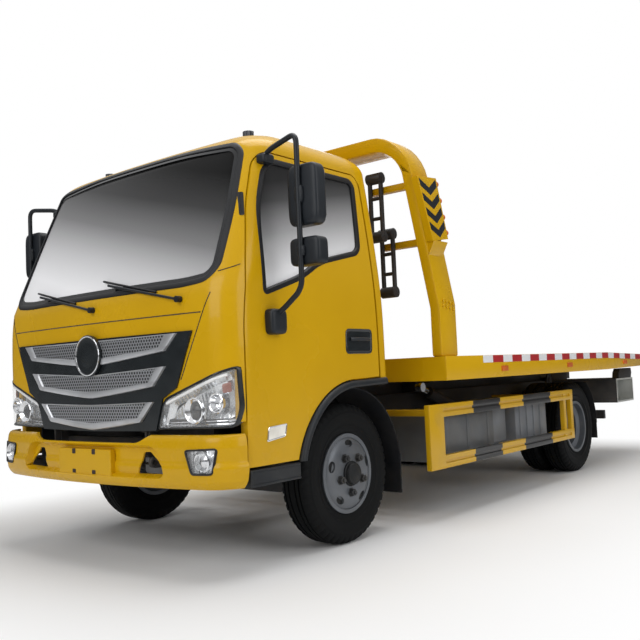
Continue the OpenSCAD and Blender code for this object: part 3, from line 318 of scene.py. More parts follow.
def put_piece(name, surface, material, body, stands_for="", bevel=0.0, sharp=34):
    """Puts a surface, in millimetres from the front axle, into a mesh that rides on a body, shaded smooth except
    along edges sharper than an angle; it may stand for one CAD node."""
    mesh = mesh_of(name, (surface[0] * 0.001 + (0, AXLE_Y, 0), surface[1]))
    mesh.materials.append(material)
    mesh.shade_smooth()
    mesh.set_sharp_from_angle(angle=math.radians(sharp))
    piece = bpy.data.objects.new(name, mesh)
    bpy.context.scene.collection.objects.link(piece)
    if bevel:
        rounded(piece, bevel * 0.001, 3, 35)
    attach(piece, body)
    if stands_for:
        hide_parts(stands_for)
    return piece


def turned(profile, centre, count, notch=0.0):
    """A profile of (x, radius) turned about an X axis through a centre; notch gives a cut for each point and
    angle, taken off the radius."""
    profile = np.asarray(profile, float)
    angle = np.arange(count) * 2 * np.pi / count
    radius = profile[:, 1:2] + np.zeros(count) - notch
    x = profile[:, 0:1] + np.zeros(count)
    return np.stack([centre[0] + x, centre[1] + radius * np.cos(angle), centre[2] + radius * np.sin(angle)], -1)


TYRE_TURNS = 288
NOTCH_DEPTHS = {352: 3, 364: 8, 374: 9, 382: 9, 386: 8}
side_wall = [(70.3, 208), (76, 226), (78.5, 232), (78, 236), (84, 248), (90, 262), (92, 264), (92.2, 268), (91, 270),
             (95, 288), (97.6, 306), (98, 318), (97, 332), (97.4, 338), (96, 341), (93, 344), (92, 352), (88, 364),
             (82, 374), (75, 382), (68, 386), (61, 388.6)]
tread = [(55, 389.4), (53.5, 380), (46.5, 380), (45, 389.8), (26.5, 390), (25, 379.5), (18, 379.5), (16.5, 390)]
half_tyre = np.array(side_wall + tread, float)
tyre_profile = np.concatenate([half_tyre, half_tyre[::-1] * (-1, 1)])
notch_depth = np.array([NOTCH_DEPTHS.get(radius, 0.0) for radius in tyre_profile[:, 1]])
tyre_cut = notch_depth[:, None] * np.array([0.0, 0.0, 0.0, 1.0, 1.0, 0.0])[np.arange(TYRE_TURNS) % 6]


def tyre_at(x, y):
    return sheet(turned(tyre_profile, (x, y, TYRE_R), TYRE_TURNS, tyre_cut), around=True)


rubber, rubber_at, rubber_link = finish_of("tyre_rubber", (0.006, 0.0065, 0.007), 0.72, Specular_IOR_Level=0.12)
rubber_dust = rubber_at.noise(5.0, 5.0).ramp(0.45, 0.85) * 0.35
rubber_link("Base Color", rubber_dust.blend((0.0045, 0.005, 0.0055, 1), (0.016, 0.016, 0.015, 1)))
rubber_link("Roughness", 0.62 + rubber_dust * 0.5)
relief(rubber_at, rubber_link, rubber_at.noise(700.0), 0.0005)
for side, sign in SIDES:
    put_piece(f"front_tyre_{side}", tyre_at(sign * FRONT_WHEEL_X, 0), rubber, f"wheel_front_{side}",
              f"tyre_front_{side}", sharp=50)
    twins = [tyre_at(sign * (REAR_WHEEL_X + k * TWIN_PITCH / 2), WHEELBASE) for k in (-1, 1)]
    put_piece(f"rear_tyres_{side}", joined(*twins), rubber, f"wheel_rear_{side}",
              f"tyres_rear_{side}", sharp=50)

# Rims: pressed steel discs sprayed silver, held to their hubs by plated nuts on a 208 mm circle.
# The front ones are domed, with a dark hub in the middle and oval hand holes, and dark ovals just inside the holes are
# painted shade for the darkness behind them.
NUT_COUNT, NUT_CIRCLE_R, NUT_TURN, HAND_HOLES, HAND_HOLES_R = 5, 104.0, 0.7, 5, 168.0
HOLE_ENDS, HOLE_SHADE_ENDS = (63, 368), (84, 87)
HUB_FACE, REAR_DISC_FACE = FRONT_WHEEL_X + 106, REAR_WHEEL_X + 12
wheel_silver = dusty("wheel_silver", (0.105, 0.115, 0.13), 0.38, amount=0.2, Metallic=0.4)
dress(wheel_silver, "rim_front_left", "rim_front_right", "rims_rear_left", "rims_rear_right")
nut_steel = dusty("nut_steel", (0.035, 0.036, 0.038), 0.45, amount=0.2, Metallic=0.5)
# The hub's dark finish also paints the shade behind the hand holes.
hub_black_and_hole_shade = dusty("hub_black_and_hole_shade", (0.007, 0.008, 0.009), 0.5, amount=0.06, Specular_IOR_Level=0.25)
nut_profile = np.array([(0, 0.1), (0, 27), (3, 28), (4, 21), (24, 21), (27, 18), (28, 11), (36, 11), (37, 9),
                        (37, 0.1)])
hub_profile = np.array([(0, 0.1), (0, 70), (4, 71), (9, 69), (12, 63), (26, 61), (31, 56), (32, 44), (35, 40),
                        (37, 14), (37, 0.1)])
disc_profile = np.array([(40, 0.1), (40, 196), (58, 206), (66, 207.5), (72, 205), (82, 199), (92, 187), (99, 170),
                         (103.5, 152), (105.5, 140), (107, 128), (107, 0.1)])


def prism(outline, axis, low, high):
    """A flat outline carried from low to high along X, as (y, z), or along Y, as (x, z)."""
    outline = np.asarray(outline, float)
    ends = np.array([low, high])[:, None] + np.zeros(len(outline))
    first, second = outline[:, 0] + 0 * ends, outline[:, 1] + 0 * ends
    return capped(np.stack([ends, first, second] if axis == "X" else [first, ends, second], -1))


def carve(base, *cuts, within=None):
    """What is left of a closed surface inside another one, where it is given, and outside of every cut."""
    tools = ([] if within is None else [("INTERSECT", within)]) + [("DIFFERENCE", cut) for cut in cuts]
    holders = [bpy.data.objects.new("cut", mesh_of("cut", part)) for part in [base] + [tool for _, tool in tools]]
    for holder in holders:
        bpy.context.scene.collection.objects.link(holder)
    for (operation, _), cutter in zip(tools, holders[1:]):
        cut = holders[0].modifiers.new("cut", "BOOLEAN")
        cut.operation, cut.object, cut.solver = operation, cutter, "EXACT"
    left = bpy.data.meshes.new_from_object(holders[0].evaluated_get(bpy.context.evaluated_depsgraph_get()))
    points = np.empty(len(left.vertices) * 3, np.float32)
    left.vertices.foreach_get("co", points)
    faces = [list(face.vertices) for face in left.polygons]
    for holder in holders:
        bpy.data.meshes.remove(holder.data)
    bpy.data.meshes.remove(left)
    return points.reshape(-1, 3).astype(float), faces


def hand_holes(sign, low, high):
    """Oval prisms in a ring round a front wheel's axis, between two distances from the wheel's middle."""
    ends = sorted((sign * (FRONT_WHEEL_X + low), sign * (FRONT_WHEEL_X + high)))
    oval = np.linspace(0, 2 * np.pi, 24, endpoint=False)
    holes = []
    for angle in math.pi / 2 + np.arange(HAND_HOLES) * 2 * np.pi / HAND_HOLES:
        out, along = np.array([math.cos(angle), math.sin(angle)]), np.array([-math.sin(angle), math.cos(angle)])
        ring = (HAND_HOLES_R + 20 * np.cos(oval))[:, None] * out + 33 * np.sin(oval)[:, None] * along
        holes.append(prism(ring + (0, TYRE_R), "X", *ends))
    return holes


for side, sign in SIDES:
    front_wheel = f"wheel_front_{side}"
    for end, y, face in (("front", 0.0, HUB_FACE), ("rear", WHEELBASE, REAR_DISC_FACE)):
        ring = (np.arange(NUT_COUNT) + NUT_TURN) * 2 * np.pi / NUT_COUNT
        spots = [(sign * face, y + NUT_CIRCLE_R * math.cos(a), TYRE_R + NUT_CIRCLE_R * math.sin(a)) for a in ring]
        nuts = [sheet(turned(nut_profile * (sign, 1), spot, 6), True) for spot in spots]
        put_piece(f"{end}_nuts_{side}", joined(*nuts), nut_steel, f"wheel_{end}_{side}", sharp=25)
    hub = sheet(turned(hub_profile * (sign, 1), (sign * HUB_FACE, 0, TYRE_R), 40), True)
    put_piece(f"front_hub_{side}", hub, hub_black_and_hole_shade, front_wheel, sharp=40)
    disc = capped(turned(disc_profile * (sign, 1), (sign * FRONT_WHEEL_X, 0, TYRE_R), 96))
    disc = carve(disc, *hand_holes(sign, *HOLE_ENDS))
    put_piece(f"front_disc_{side}", disc, wheel_silver, front_wheel, sharp=28)
    # Dark ovals a little way inside the hand holes: painted shade, standing for the darkness seen through them.
    hole_shade_sheets = joined(*hand_holes(sign, *HOLE_SHADE_ENDS))
    put_piece(f"front_hole_shades_{side}", hole_shade_sheets, hub_black_and_hole_shade, front_wheel, sharp=28)

# Cab: a pressed and welded steel shell, hollow, sprayed golden yellow inside and out, with openings for the
# doors, windows and lamps. It tilts forward on two pins in front.
CAB_HALF_W, CAB_FRONT, CAB_REAR, CAB_WALL, CORNER_R, BOW_R = 1005.0, 1030.0, 334.0, 42.0, 168.0, 9000.0
BACK_CORNER_R, COWL_Z, BROW_Z, ROOF_Z, RAKE, TUMBLEHOME = 60.0, 1395.0, 2135.0, 2308.0, math.radians(22), 92.0
screen_h, roof_h = BROW_Z - COWL_Z, ROOF_Z - BROW_Z
# How far the sides, the nose and the back stand in, up the body, then up the windscreen, then over the roof
body_z = np.linspace(525, COWL_Z, 30)
body_rows = [np.interp(body_z, (525, 825, 1135, 1305, 1395), values)
             for values in ((6, 0, 0, 3, 8), (14, 4, 0, 3, 14), (0, 0, 0, 0, 0))]
body_rows = [np.concatenate([row[:2], np.convolve(row, np.ones(5) / 5, "valid"), row[-2:]]) for row in body_rows]
k = np.linspace(0, 1, 15)[1:]
screen_rows = [8 + (TUMBLEHOME - 8) * k ** 1.25, 14 + screen_h * k * math.tan(RAKE), 10 * k]
a = np.radians(np.linspace(0, 88, 19)[1:])
rise, turn = np.sin(a), 1 - np.cos(a)
ease = 1 - 0.02 * np.minimum(a / math.radians(22), 1)
roof_rows = [TUMBLEHOME + 330 * turn, 14 + (screen_h + roof_h * rise) * math.tan(RAKE) * ease + 340 * turn,
             10 + 260 * turn]
section_z = np.concatenate([body_z, COWL_Z + screen_h * k, BROW_Z + roof_h * rise])
section_inset, section_nose, section_back = (np.concatenate(rows) for rows in zip(body_rows, screen_rows, roof_rows))


def corner_of(width, nose, corner, bow_r):
    """Y of the middle of a nose's round corner, and the angle where the nose's bow meets that corner."""
    turn_at = np.arcsin((width - corner) / (bow_r - corner))
    return nose + bow_r - (bow_r - corner) * np.cos(turn_at), turn_at


def nose_y(x, width, nose, corner, bow_r):
    """Y of a nose at x: a wide bow in the middle and a round corner at each side."""
    centre_y, turn_at = corner_of(width, nose, corner, bow_r)
    across = np.abs(x)
    bow = nose + bow_r - np.sqrt(bow_r ** 2 - across ** 2)
    round_y = centre_y - np.sqrt(np.maximum(corner ** 2 - (across - width + corner) ** 2, 0))
    return np.where(across <= bow_r * np.sin(turn_at), bow, round_y)


def cab_plan(z, t):
    """Half width, nose, corner radius and bow radius of the cab at heights z, grown inwards by t."""
    return (CAB_HALF_W - np.interp(z, section_z, section_inset) - t,
            np.interp(z, section_z, section_nose) - CAB_FRONT + t, CORNER_R - t, BOW_R)


def side_x(y, z, proud):
    """X of the cab's left side at y and z: straight, then round the corner in front."""
    plan = cab_plan(z, -proud)
    width, corner, centre_y = plan[0], plan[2], corner_of(*plan)[0]
    return np.where(y >= centre_y, width,
                    width - corner + np.sqrt(np.maximum(corner ** 2 - (y - centre_y) ** 2, 0)))


def ring_loft(z, width, nose, corner, back, bow_r):
    """A closed form through rings at heights z, each with a bowed nose, round front corners, straight sides and
    tighter back corners; the other arguments give one value for each ring."""
    width, nose, back = width[:, None], nose[:, None], back[:, None]
    centre_y, turn_at = corner_of(width, nose, corner, bow_r)
    bow = turn_at * np.linspace(0.5 / 14, 1, 14)[:-1]
    swing = turn_at + (np.pi / 2 - turn_at) * np.linspace(0, 1, 22)
    heel = np.radians(np.linspace(0, 90, 7))
    flat = np.linspace(0, 1, 10)[1:-1]
    run = np.linspace(1, 0.06, 6)[1:]
    heel_y = back - BACK_CORNER_R
    x = np.concatenate([bow_r * np.sin(bow), width - corner + corner * np.sin(swing), width + 0 * flat,
                        width - BACK_CORNER_R * (1 - np.cos(heel)), (width - BACK_CORNER_R) * run], 1)
    y = np.concatenate([nose + bow_r * (1 - np.cos(bow)), centre_y - corner * np.cos(swing),
                        centre_y + (heel_y - centre_y) * flat, heel_y + BACK_CORNER_R * np.sin(heel),
                        back + 0 * run], 1)
    half = np.stack([x, y, z[:, None] + 0 * x], -1)
    return capped(np.concatenate([half, half[:, ::-1] * (-1, 1, 1)], 1))


def cab_loft(t, sink=0.0):
    """The cab's outer form grown inwards by t, its lower end taken down by sink."""
    z = np.where(section_z > BROW_Z, section_z - t * (section_z - BROW_Z) / roof_h, section_z)
    z[0] -= sink
    return ring_loft(z, CAB_HALF_W - section_inset - t, section_nose - CAB_FRONT + t, CORNER_R - t,
                     CAB_REAR - section_back - t, BOW_R)


def curve(start, corner, end, t):
    """The bend that leaves start towards a corner and comes to end, at shares t of its length."""
    return (1 - t) ** 2 * start + 2 * t * (1 - t) * corner + t ** 2 * end


def eased(outline, radius):
    """An outline with each corner drawn as a curve that starts a radius away from it on both sides."""
    corner = np.asarray(outline, float)
    before, after = np.roll(corner, 1, 0) - corner, np.roll(corner, -1, 0) - corner
    room = np.minimum(np.linalg.norm(before, axis=1), np.linalg.norm(after, axis=1))
    reach = np.minimum(np.broadcast_to(radius, len(corner)), 0.48 * room)[:, None]
    start, end = corner + unit(before) * reach, corner + unit(after) * reach
    t = np.linspace(0, 1, 6)[None, :, None]
    return curve(start[:, None], corner[:, None], end[:, None], t).reshape(-1, 2)


def oblong(x0, x1, z0, z1, radius):
    """The outline of a rectangle with eased corners."""
    return eased([(x0, z0), (x1, z0), (x1, z1), (x0, z1)], radius)


def block(x0, x1, y0, y1, z0, z1):
    return prism([(y0, z0), (y1, z0), (y1, z1), (y0, z1)], "X", x0, x1)


DOOR_FRONT, DOOR_REAR, DOOR_TOP, SILL_Z, DOOR_GAP, DOOR_REAR_GAP = 866.0, 222.0, 2118.0, 525.0, 8.0, 14.0
ARCH_R, FLARE_W, FLARE_FOOT, FLARE_END, NOSE_BOTTOM, LAMP_BACK = 482.0, 38.0, 516.0, 290.0, 746.0, 890.0


def door_outline(g, h):
    """Side view of the door as (y, z), grown by g all round and by h behind."""
    return eased([(-DOOR_FRONT - g, SILL_Z - g), (-DOOR_FRONT - g, 1240), (-824 - g, 1500), (-745 - g, 1815),
                  (-650 - g, DOOR_TOP - 50), (-590 - g, DOOR_TOP + g), (DOOR_REAR - 45, DOOR_TOP + g),
                  (DOOR_REAR - 8 + h, DOOR_TOP - 45), (DOOR_REAR + h, 1500), (DOOR_REAR + 6 + h, SILL_Z - g)],
                 (4, 90, 90, 90, 40, 40, 50, 50, 200, 4))


def lamp_outline(g):
    """Front view of the left headlamp as (x, z), grown by g."""
    return eased([(508 - g, 712 - g), (972 + g, 722 - g), (992 + g, 800), (988 + g, 1012 + g), (784, 939 + g),
                  (561 - g, 862 + g)], (22, 26, 60, 22, 120, 36))


def arch_edge(radius):
    """Side view of the wheel arch's edge as (y, z): an arc up to the axle's middle, then nearly level to the back."""
    angle = np.linspace(math.pi - math.asin((FLARE_FOOT - TYRE_R) / radius), math.pi / 2, 48)
    arc = np.stack([radius * np.cos(angle), TYRE_R + radius * np.sin(angle)], -1)
    back = np.linspace(12, FLARE_END, 16)
    return np.concatenate([arc, np.stack([back, TYRE_R + radius + 0.03 * back], -1)])


def arch_space(radius):
    """The room under an arch's edge, as an outline to cut with."""
    edge = arch_edge(radius)
    return np.concatenate([edge, [(CAB_REAR + 40, edge[-1, 1]), (CAB_REAR + 40, 300), (edge[0, 0], 300)]])


# The windscreen from the front as (x, z), the door's window from the side as (y, z), and the window in the back
screen_left = [(700, 1425), (840, 1440), (888, 1500), (872, 1800), (826, 2130), (770, 2178), (400, 2210)]
screen_ease = (60, 50, 50, 150, 40, 40, 200)
screen_outline = eased(screen_left + [(-x, z) for x, z in screen_left[::-1]], screen_ease + screen_ease[::-1])
window_outline = eased([(-712, 1372), (-413, 1470), (-260, 1560), (90, 1640), (125, 1675), (158, DOOR_TOP - 70),
                        (130, DOOR_TOP - 40), (-545, DOOR_TOP - 40), (-610, DOOR_TOP - 95), (-700, 1790)],
                       (20, 84, 84, 60, 30, 30, 30, 40, 60, 150))
back_window = oblong(-620, 620, 1480, 1960, 60)
cab_outer, cab_inner = cab_loft(0.0), cab_loft(CAB_WALL, 40)
wheel_room = arch_space(ARCH_R + FLARE_W)
cab_cuts = [cab_inner, prism(screen_outline, "Y", -1400, -480), prism(back_window, "Y", 214, 434),
            block(-1200, 1200, -1300, -DOOR_FRONT, 0, NOSE_BOTTOM), block(-1200, 1200, -840, 100, 0, SILL_Z + 200),
            block(-1200, 1200, 100, 500, 0, 880), block(-900, 900, -100, 500, 0, 915),
            prism(wheel_room, "X", -1200, -600), prism(wheel_room, "X", 600, 1200)]
for _, sign in SIDES:
    cab_cuts += [prism(door_outline(DOOR_GAP, DOOR_REAR_GAP), "X", *sorted((sign * 700, sign * 1200))),
                 prism(lamp_outline(3) * (sign, 1), "Y", -1300, -LAMP_BACK)]

paint, paint_at, paint_link = finish_of("yellow_paint", (0.62, 0.355, 0.003), 0.26, Specular_IOR_Level=0.18,
                                        Coat_Weight=0.16, Coat_Roughness=0.05)
paint_cloud = paint_at.noise(1.6, 4.0)
paint_low = (1.0 - paint_at.axes()[2].ramp(0.4, 1.0)) * paint_at.noise(9.0, 5.0).ramp(0.45, 0.8) * 0.1
paint_tone = paint_cloud.ramp(0.25, 0.75).blend((0.60, 0.340, 0.0028, 1), (0.645, 0.372, 0.0035, 1))
paint_link("Base Color", paint_low.blend(paint_tone, (0.34, 0.22, 0.04, 1)))
paint_link("Roughness", 0.24 + paint_cloud * 0.06 + paint_low * 0.8)
relief(paint_at, paint_link, paint_at.noise(160.0), 0.0003, 0.12)
put_piece("cab_body", carve(cab_outer, *cab_cuts), paint, "cab", "cab_shell", sharp=30)


# Doors: pressed steel skins on hinges in the gap ahead of them, with the window cut out and the wheel arch
# taken off their lower corner.
def put_on_doors(name, surface, material, stands_for="", sharp=34):
    """Puts a piece on the left door, and its mirror image on the right one."""
    for side, form in (("left", surface), ("right", mirrored(surface))):
        put_piece(f"{name}_{side}", form, material, f"{side}_door", stands_for and f"{stands_for}_{side}",
                  sharp=sharp)


door_skin = carve(cab_outer, cab_inner, prism(window_outline, "X", 600, 1300),
                  prism(arch_space(ARCH_R + FLARE_W + DOOR_GAP), "X", 600, 1300),
                  within=prism(door_outline(0, 0), "X", 700, 1200))
put_on_doors("door_skin", door_skin, paint, "door", sharp=30)


# Window rubbers and glass: black rubber sections pressed round each opening, and toughened glass set into them.
# A printed black band runs round the windscreen, and the glass carries a painted reflection that runs from dark above
# to pale below.
def at_points(x, y, z):
    """Points from coordinates of any shapes that fit together."""
    return np.stack(np.broadcast_arrays(x, y, z), -1)


def on_front(x, z, proud):
    return at_points(x, nose_y(x, *cab_plan(z, -proud)), z)


def on_left(y, z, proud):
    return at_points(side_x(y, z, proud), y, z)


def on_back(x, z, proud):
    """A place on the cab's back wall, which leans forward a little towards the roof."""
    return at_points(x, CAB_REAR - 10 * np.clip((z - COWL_Z) / screen_h, 0, 1) + proud, z)


def resampled(outline):
    """A closed outline with points added, so that no side is longer than 26 mm."""
    outline = np.asarray(outline, float)
    sides = zip(outline, np.roll(outline, -1, 0))
    shares = [np.linspace(0, 1, 1 + math.ceil(np.linalg.norm(b - a) / 26.0))[:-1, None] for a, b in sides]
    return np.concatenate([a + (b - a) * t for a, b, t in zip(outline, np.roll(outline, -1, 0), shares)])


def edging(outline, profile, place):
    """A profile of (offset outwards, proud) carried round a closed outline and laid on a surface by place."""
    outline, profile = resampled(outline), np.asarray(profile, float)
    after = np.roll(outline, -1, 0)
    along = after - np.roll(outline, 1, 0)
    turning = np.sign(np.sum(outline[:, 0] * after[:, 1] - after[:, 0] * outline[:, 1]))
    out = unit(np.stack([along[:, 1], -along[:, 0]], -1)) * turning
    flat = outline[None] + out[None] * profile[:, 0][:, None, None]
    return sheet(place(flat[..., 0], flat[..., 1], profile[:, 1:2]), around=True)


def filled(outline, place, proud, dome=0.0):
    """A sheet inside an outline, as shrinking copies of it about its middle, laid on a surface by place and
    raised in the middle by dome."""
    outline = resampled(outline)
    middle = outline.mean(0)
    share = np.linspace(1, 0.02, 9)[:, None, None]
    flat = middle + (outline - middle)[None] * share
    return sheet(place(flat[..., 0], flat[..., 1], proud + dome * (1 - share[..., 0] ** 2)), around=True)


def tube(path, radius, count=12):
    """A round tube along a path of points, closed at both ends."""
    path = np.asarray(path, float)
    along = unit(np.gradient(path, axis=0))
    side = unit(np.cross(along, np.eye(3)[np.argmin(np.abs(along).max(0))]))
    other = np.cross(along, side)
    angle = np.arange(count) * 2 * np.pi / count
    radius = np.broadcast_to(radius, len(path))[:, None, None]
    ring = side[:, None] * np.cos(angle)[None, :, None] + other[:, None] * np.sin(angle)[None, :, None]
    return capped(path[:, None] + radius * ring)


def bent(points, reach, fine=0):
    """A path through points with each inner corner drawn as a curve that starts at a reach from it; fine cuts each
    stretch of it into more."""
    points = np.asarray(points, float)
    path, t = [points[:1]], np.linspace(0, 1, 8)[:, None]
    for before, corner, after in zip(points[:-2], points[1:-1], points[2:]):
        path.append(curve(corner + unit(before - corner) * reach, corner, corner + unit(after - corner) * reach, t))
    path = np.concatenate(path + [points[-1:]])
    if fine:
        path = np.concatenate([np.linspace(a, b, fine)[:-1] for a, b in zip(path[:-1], path[1:])])
    return path


black_rubber = dusty("black_rubber", (0.006, 0.0065, 0.008), 0.45, amount=0.1, Specular_IOR_Level=0.3)


def moulded(name, colour, roughness, ribs=0.0, **constants):
    """A gloss, plated or clear surface: faint clouds in tone and gloss, and fine upright ribs where a lens has them."""
    material, at, link = finish_of(name, colour, roughness, **constants)
    cloud = at.noise(11.0, 4.0)
    pale = tuple(min(c * 1.25 + 0.002, 1.0) for c in colour)
    link("Base Color", cloud.ramp(0.3, 0.7).blend((*colour, 1), (*pale, 1)))
    link("Roughness", roughness * 0.7 + cloud * (roughness * 0.6))
    along_x, along_y, _ = at.axes()
    height = abs(((along_x + along_y) * ribs) % 1.0 - 0.5) if ribs else at.noise(240.0)
    relief(at, link, height, 0.003 if ribs else 0.0002, 0.6 if ribs else 0.1)
    return material


frit_black = moulded("frit_black", (0.006, 0.007, 0.009), 0.12)
seal_profile = [(-17, -16), (-16, -1), (-10, 4), (7, 5), (14, 2), (15, -5)]
put_piece("windscreen_rubber", edging(screen_outline, seal_profile, on_front), black_rubber, "cab")
screen_band = edging(screen_outline, [(-14, -4.5), (-25, -4.5), (-36, -4.5), (-37, -8.5)], on_front)
put_piece("windscreen_band", screen_band, frit_black, "cab")


def glass_with_painted_reflection(name, low, high, slope, tones):
    """Glass with a painted reflection: its grey runs between two heights through a few tones, lines of one tone sloping
    along X and Y; a little of the inside shows through."""
    material, at, link = finish_of(name, (0.3, 0.3, 0.3), 0.03, Alpha=0.96, Specular_IOR_Level=0.06)
    x, y, z = at.axes()
    share = (z + x * slope[0] + (y - AXLE_Y) * slope[1] - low) * (1 / (high - low))
    stops = [(place, (tone, tone, tone * 1.02)) for place, tone in tones]
    link("Base Color", at.make("ShaderNodeValToRGB", {"stops": stops}, {0: share}))
    return material


# The windscreen and door glass carry a painted reflection in their colour, pale low down and dark high up.
dress(glass_with_painted_reflection("screen_glass", 1.42, 2.22, (0.27, 0.0),
                   [(0.0, 0.95), (0.25, 0.62), (0.5, 0.23), (0.75, 0.055), (1.0, 0.008)]), "cab_glass")
dress(glass_with_painted_reflection("side_glass", 1.38, 2.08, (0.0, -0.2),
                   [(0.0, 0.97), (0.3, 0.88), (0.6, 0.38), (0.85, 0.08), (1.0, 0.03)]),
      "door_glass_left", "door_glass_right")
window_seal = edging(window_outline, [(-15, -22), (-14, -3), (-8, 2), (9, 3), (15, 1), (16, -4)], on_left)
put_on_doors("window_rubber", window_seal, black_rubber)
put_piece("back_window_rubber", edging(back_window, seal_profile, on_back), black_rubber, "cab")

# Panel seams: the gaps round the hood, its side panels and the belt line, as thin dark lines on the painted skin.
# The hood itself is part of the cab's nose here.
HOOD_SEAM_Z = 1279.0
seam_x = np.linspace(-826, 826, 60)
side_seam = bent([(881, 0, 1372), (804, 0, 1201), (669, 0, 925)], 60, 8)
seams = [tube(on_front(seam_x, HOOD_SEAM_Z + 0 * seam_x, 0.0), 3.0, 8)]
seams += [tube(on_front(sign * side_seam[:, 0], side_seam[:, 2], 0.0), 2.6, 8) for _, sign in SIDES]
seams.append(paired(tube(on_left(np.linspace(-930, -848, 12), np.linspace(1474, 1506, 12), 0.0), 2.6, 8)))
put_piece("hood_seams", joined(*seams), frit_black, "cab")

# Grille: a gloss black moulding clipped to the nose, with three satin silver bands of punched sheet in it and a
# plain black disc in a bright ring.
gloss_black = moulded("gloss_black", (0.010, 0.013, 0.015), 0.2)
dress(gloss_black, "grille")
satin_silver = dusty("satin_silver", (0.44, 0.45, 0.47), 0.34, amount=0.06, Metallic=0.6)
punched, punched_at, punched_link = finish_of("punched_sheet", (0.3, 0.31, 0.33), 0.34, Metallic=0.6)
PITCH_X, PITCH_Z, HOLE_R = 0.020, 0.016, 0.0066
hole_x, _, hole_z = punched_at.axes()
hole_row = hole_z * (1 / PITCH_Z)
hole_shift = (hole_row.maths("FLOOR", hole_row) % 2.0) * 0.5
hole_u = ((hole_x * (1 / PITCH_X) + hole_shift) % 1.0 - 0.5) * PITCH_X
hole_v = (hole_row % 1.0 - 0.5) * PITCH_Z
hole = 1.0 - (hole_u * hole_u + hole_v * hole_v).ramp(HOLE_R ** 2 * 0.75, HOLE_R ** 2 * 1.25)
# The holes are painted near black: painted shade for the dark space behind the punched sheet.
punched_link("Base Color", hole.blend((0.36, 0.37, 0.39, 1), (0.010, 0.010, 0.011, 1)))
punched_link("Metallic", (1.0 - hole) * 0.6)
relief(punched_at, punched_link, 1.0 - hole, 0.002)
BAND_PROUD, MESH_PROUD, GRILLE_PROUD, BAND_CURVE = 24.0, 17.0, 10.4, 1.2
# Columns: lower and upper height in the middle, half width below and above, lower and upper height at the ends
BANDS = [(1046, 1182, 595, 679, 1102, 1186), (875, 1000, 506, 596, 928, 1027), (706, 842, 402, 503, 749, 852)]


def bands(u, v, proud):
    """All bands as one surface, on a grid of shares: u from end to end, v from the lower edge to the upper, both
    curved upwards."""
    u, v, parts = u[None, :], v[:, None], []
    for low_mid, up_mid, low_w, up_w, low_end, up_end in BANDS:
        low = low_mid + (low_end - low_mid) * np.abs(u) ** BAND_CURVE
        up = up_mid + (up_end - up_mid) * np.abs(u) ** BAND_CURVE
        parts.append(sheet(on_front(u * (low_w + (up_w - low_w) * v), low + (up - low) * v, proud)))
    return joined(*parts)


# The raised border's samples as (share, height): close pairs at each edge keep it crisp, and -1 is on the grille
border_u = np.array([(s, 0) for s in (0, 0.1, 0.2, 0.3, 0.4, 0.5, 0.6, 0.7, 0.8, 0.875)]
                    + [(0.885, 0.2), (0.905, 1), (0.98, 1), (0.995, 0.7), (1.0, -1)])
border_u = np.concatenate([border_u[:0:-1] * (-1, 1), border_u])
border_v = np.array([(0, -1), (0.02, 0.7), (0.06, 1), (0.24, 1), (0.28, 0.2), (0.3, 0), (0.5, 0), (0.7, 0), (0.93, 0),
                     (0.95, 0.3), (0.97, 0.6), (0.99, 0.5), (1.0, -1)])
high_u, high_v = border_u[None, :, 1], border_v[:, None, 1]
high = np.where((high_u < 0) | (high_v < 0), -1, np.maximum(high_u, high_v))
band_proud = np.where(high < 0, GRILLE_PROUD, MESH_PROUD - 2 + (BAND_PROUD - MESH_PROUD + 2) * high)
put_piece("grille_frames", bands(border_u[:, 0], border_v[:, 0], band_proud), satin_silver, "cab",
          "grille_bands", sharp=40)
meshes = bands(np.linspace(-0.9, 0.9, 41), np.linspace(0.26, 0.955, 5), np.full((5, 41), MESH_PROUD))
put_piece("grille_meshes", meshes, punched, "cab")


def faced(profile, centre, count=64):
    """A profile of (y, radius) turned about an axis along Y through (x, z)."""
    return sheet(turned(profile, (0, centre[0], centre[1]), count)[..., [1, 0, 2]], around=True)


BADGE_Z, BADGE_FACE = 1104.0, -CAB_FRONT - 36
chrome = moulded("chrome", (0.72, 0.73, 0.75), 0.1, Metallic=1.0)
badge_disc = np.array([(22, 112), (4, 113), (2, 108), (5, 100), (3, 60), (2, 0.1)])
badge_ring = np.array([(5, 109), (0, 107.5), (-1, 104.5), (0, 101.5), (6, 100)])
for name, profile, finish, slot in (("badge_disc", badge_disc, gloss_black, "gloss_black"),
                                    ("badge_ring", badge_ring, chrome, "silver_trim")):
    put_piece(name, faced(profile + (BADGE_FACE, 0), (0, BADGE_Z)), finish, "cab")

# Headlamps: a chromed bowl with a projector and a reflector under a clear moulded cover, edged in black, with a
# light guide along the top and an amber turn lamp outboard. They are screwed into the nose.
clear_cover = moulded("clear_cover", (0.85, 0.88, 0.9), 0.03, Alpha=0.14)
lamp_silver, lamp_at, lamp_link = finish_of("lamp_silver", (0.8, 0.82, 0.84), 0.16, Metallic=0.85)
lamp_ribs = lamp_at.axes()[0]
lamp_link("Roughness", 0.12 + lamp_at.noise(30.0).ramp(0.3, 0.7) * 0.2)
relief(lamp_at, lamp_link, ((lamp_ribs * 46.0) % 1.0).ramp(0.0, 1.0), 0.006, 0.8)
guide_white = moulded("guide_white", (0.88, 0.89, 0.91), 0.2, ribs=70.0)
amber_lens = moulded("amber_lens", (0.56, 0.12, 0.014), 0.12, ribs=90.0)
turn_lens = moulded("turn_lens", (0.22, 0.05, 0.022), 0.12, ribs=90.0)
lamp_bowl = joined(edging(lamp_outline(-8), [(0, -2), (-3, -34), (-35, -56)], on_front),
                   filled(lamp_outline(-43), on_front, -56, -12))
lamp_edge = edging(lamp_outline(0), [(2.5, -6), (2, 2), (-2, 4.5), (-7, 4.5), (-9, 2), (-9, -12)], on_front)
lamp_cover = filled(lamp_outline(-8), on_front, 2.5, 3.0)
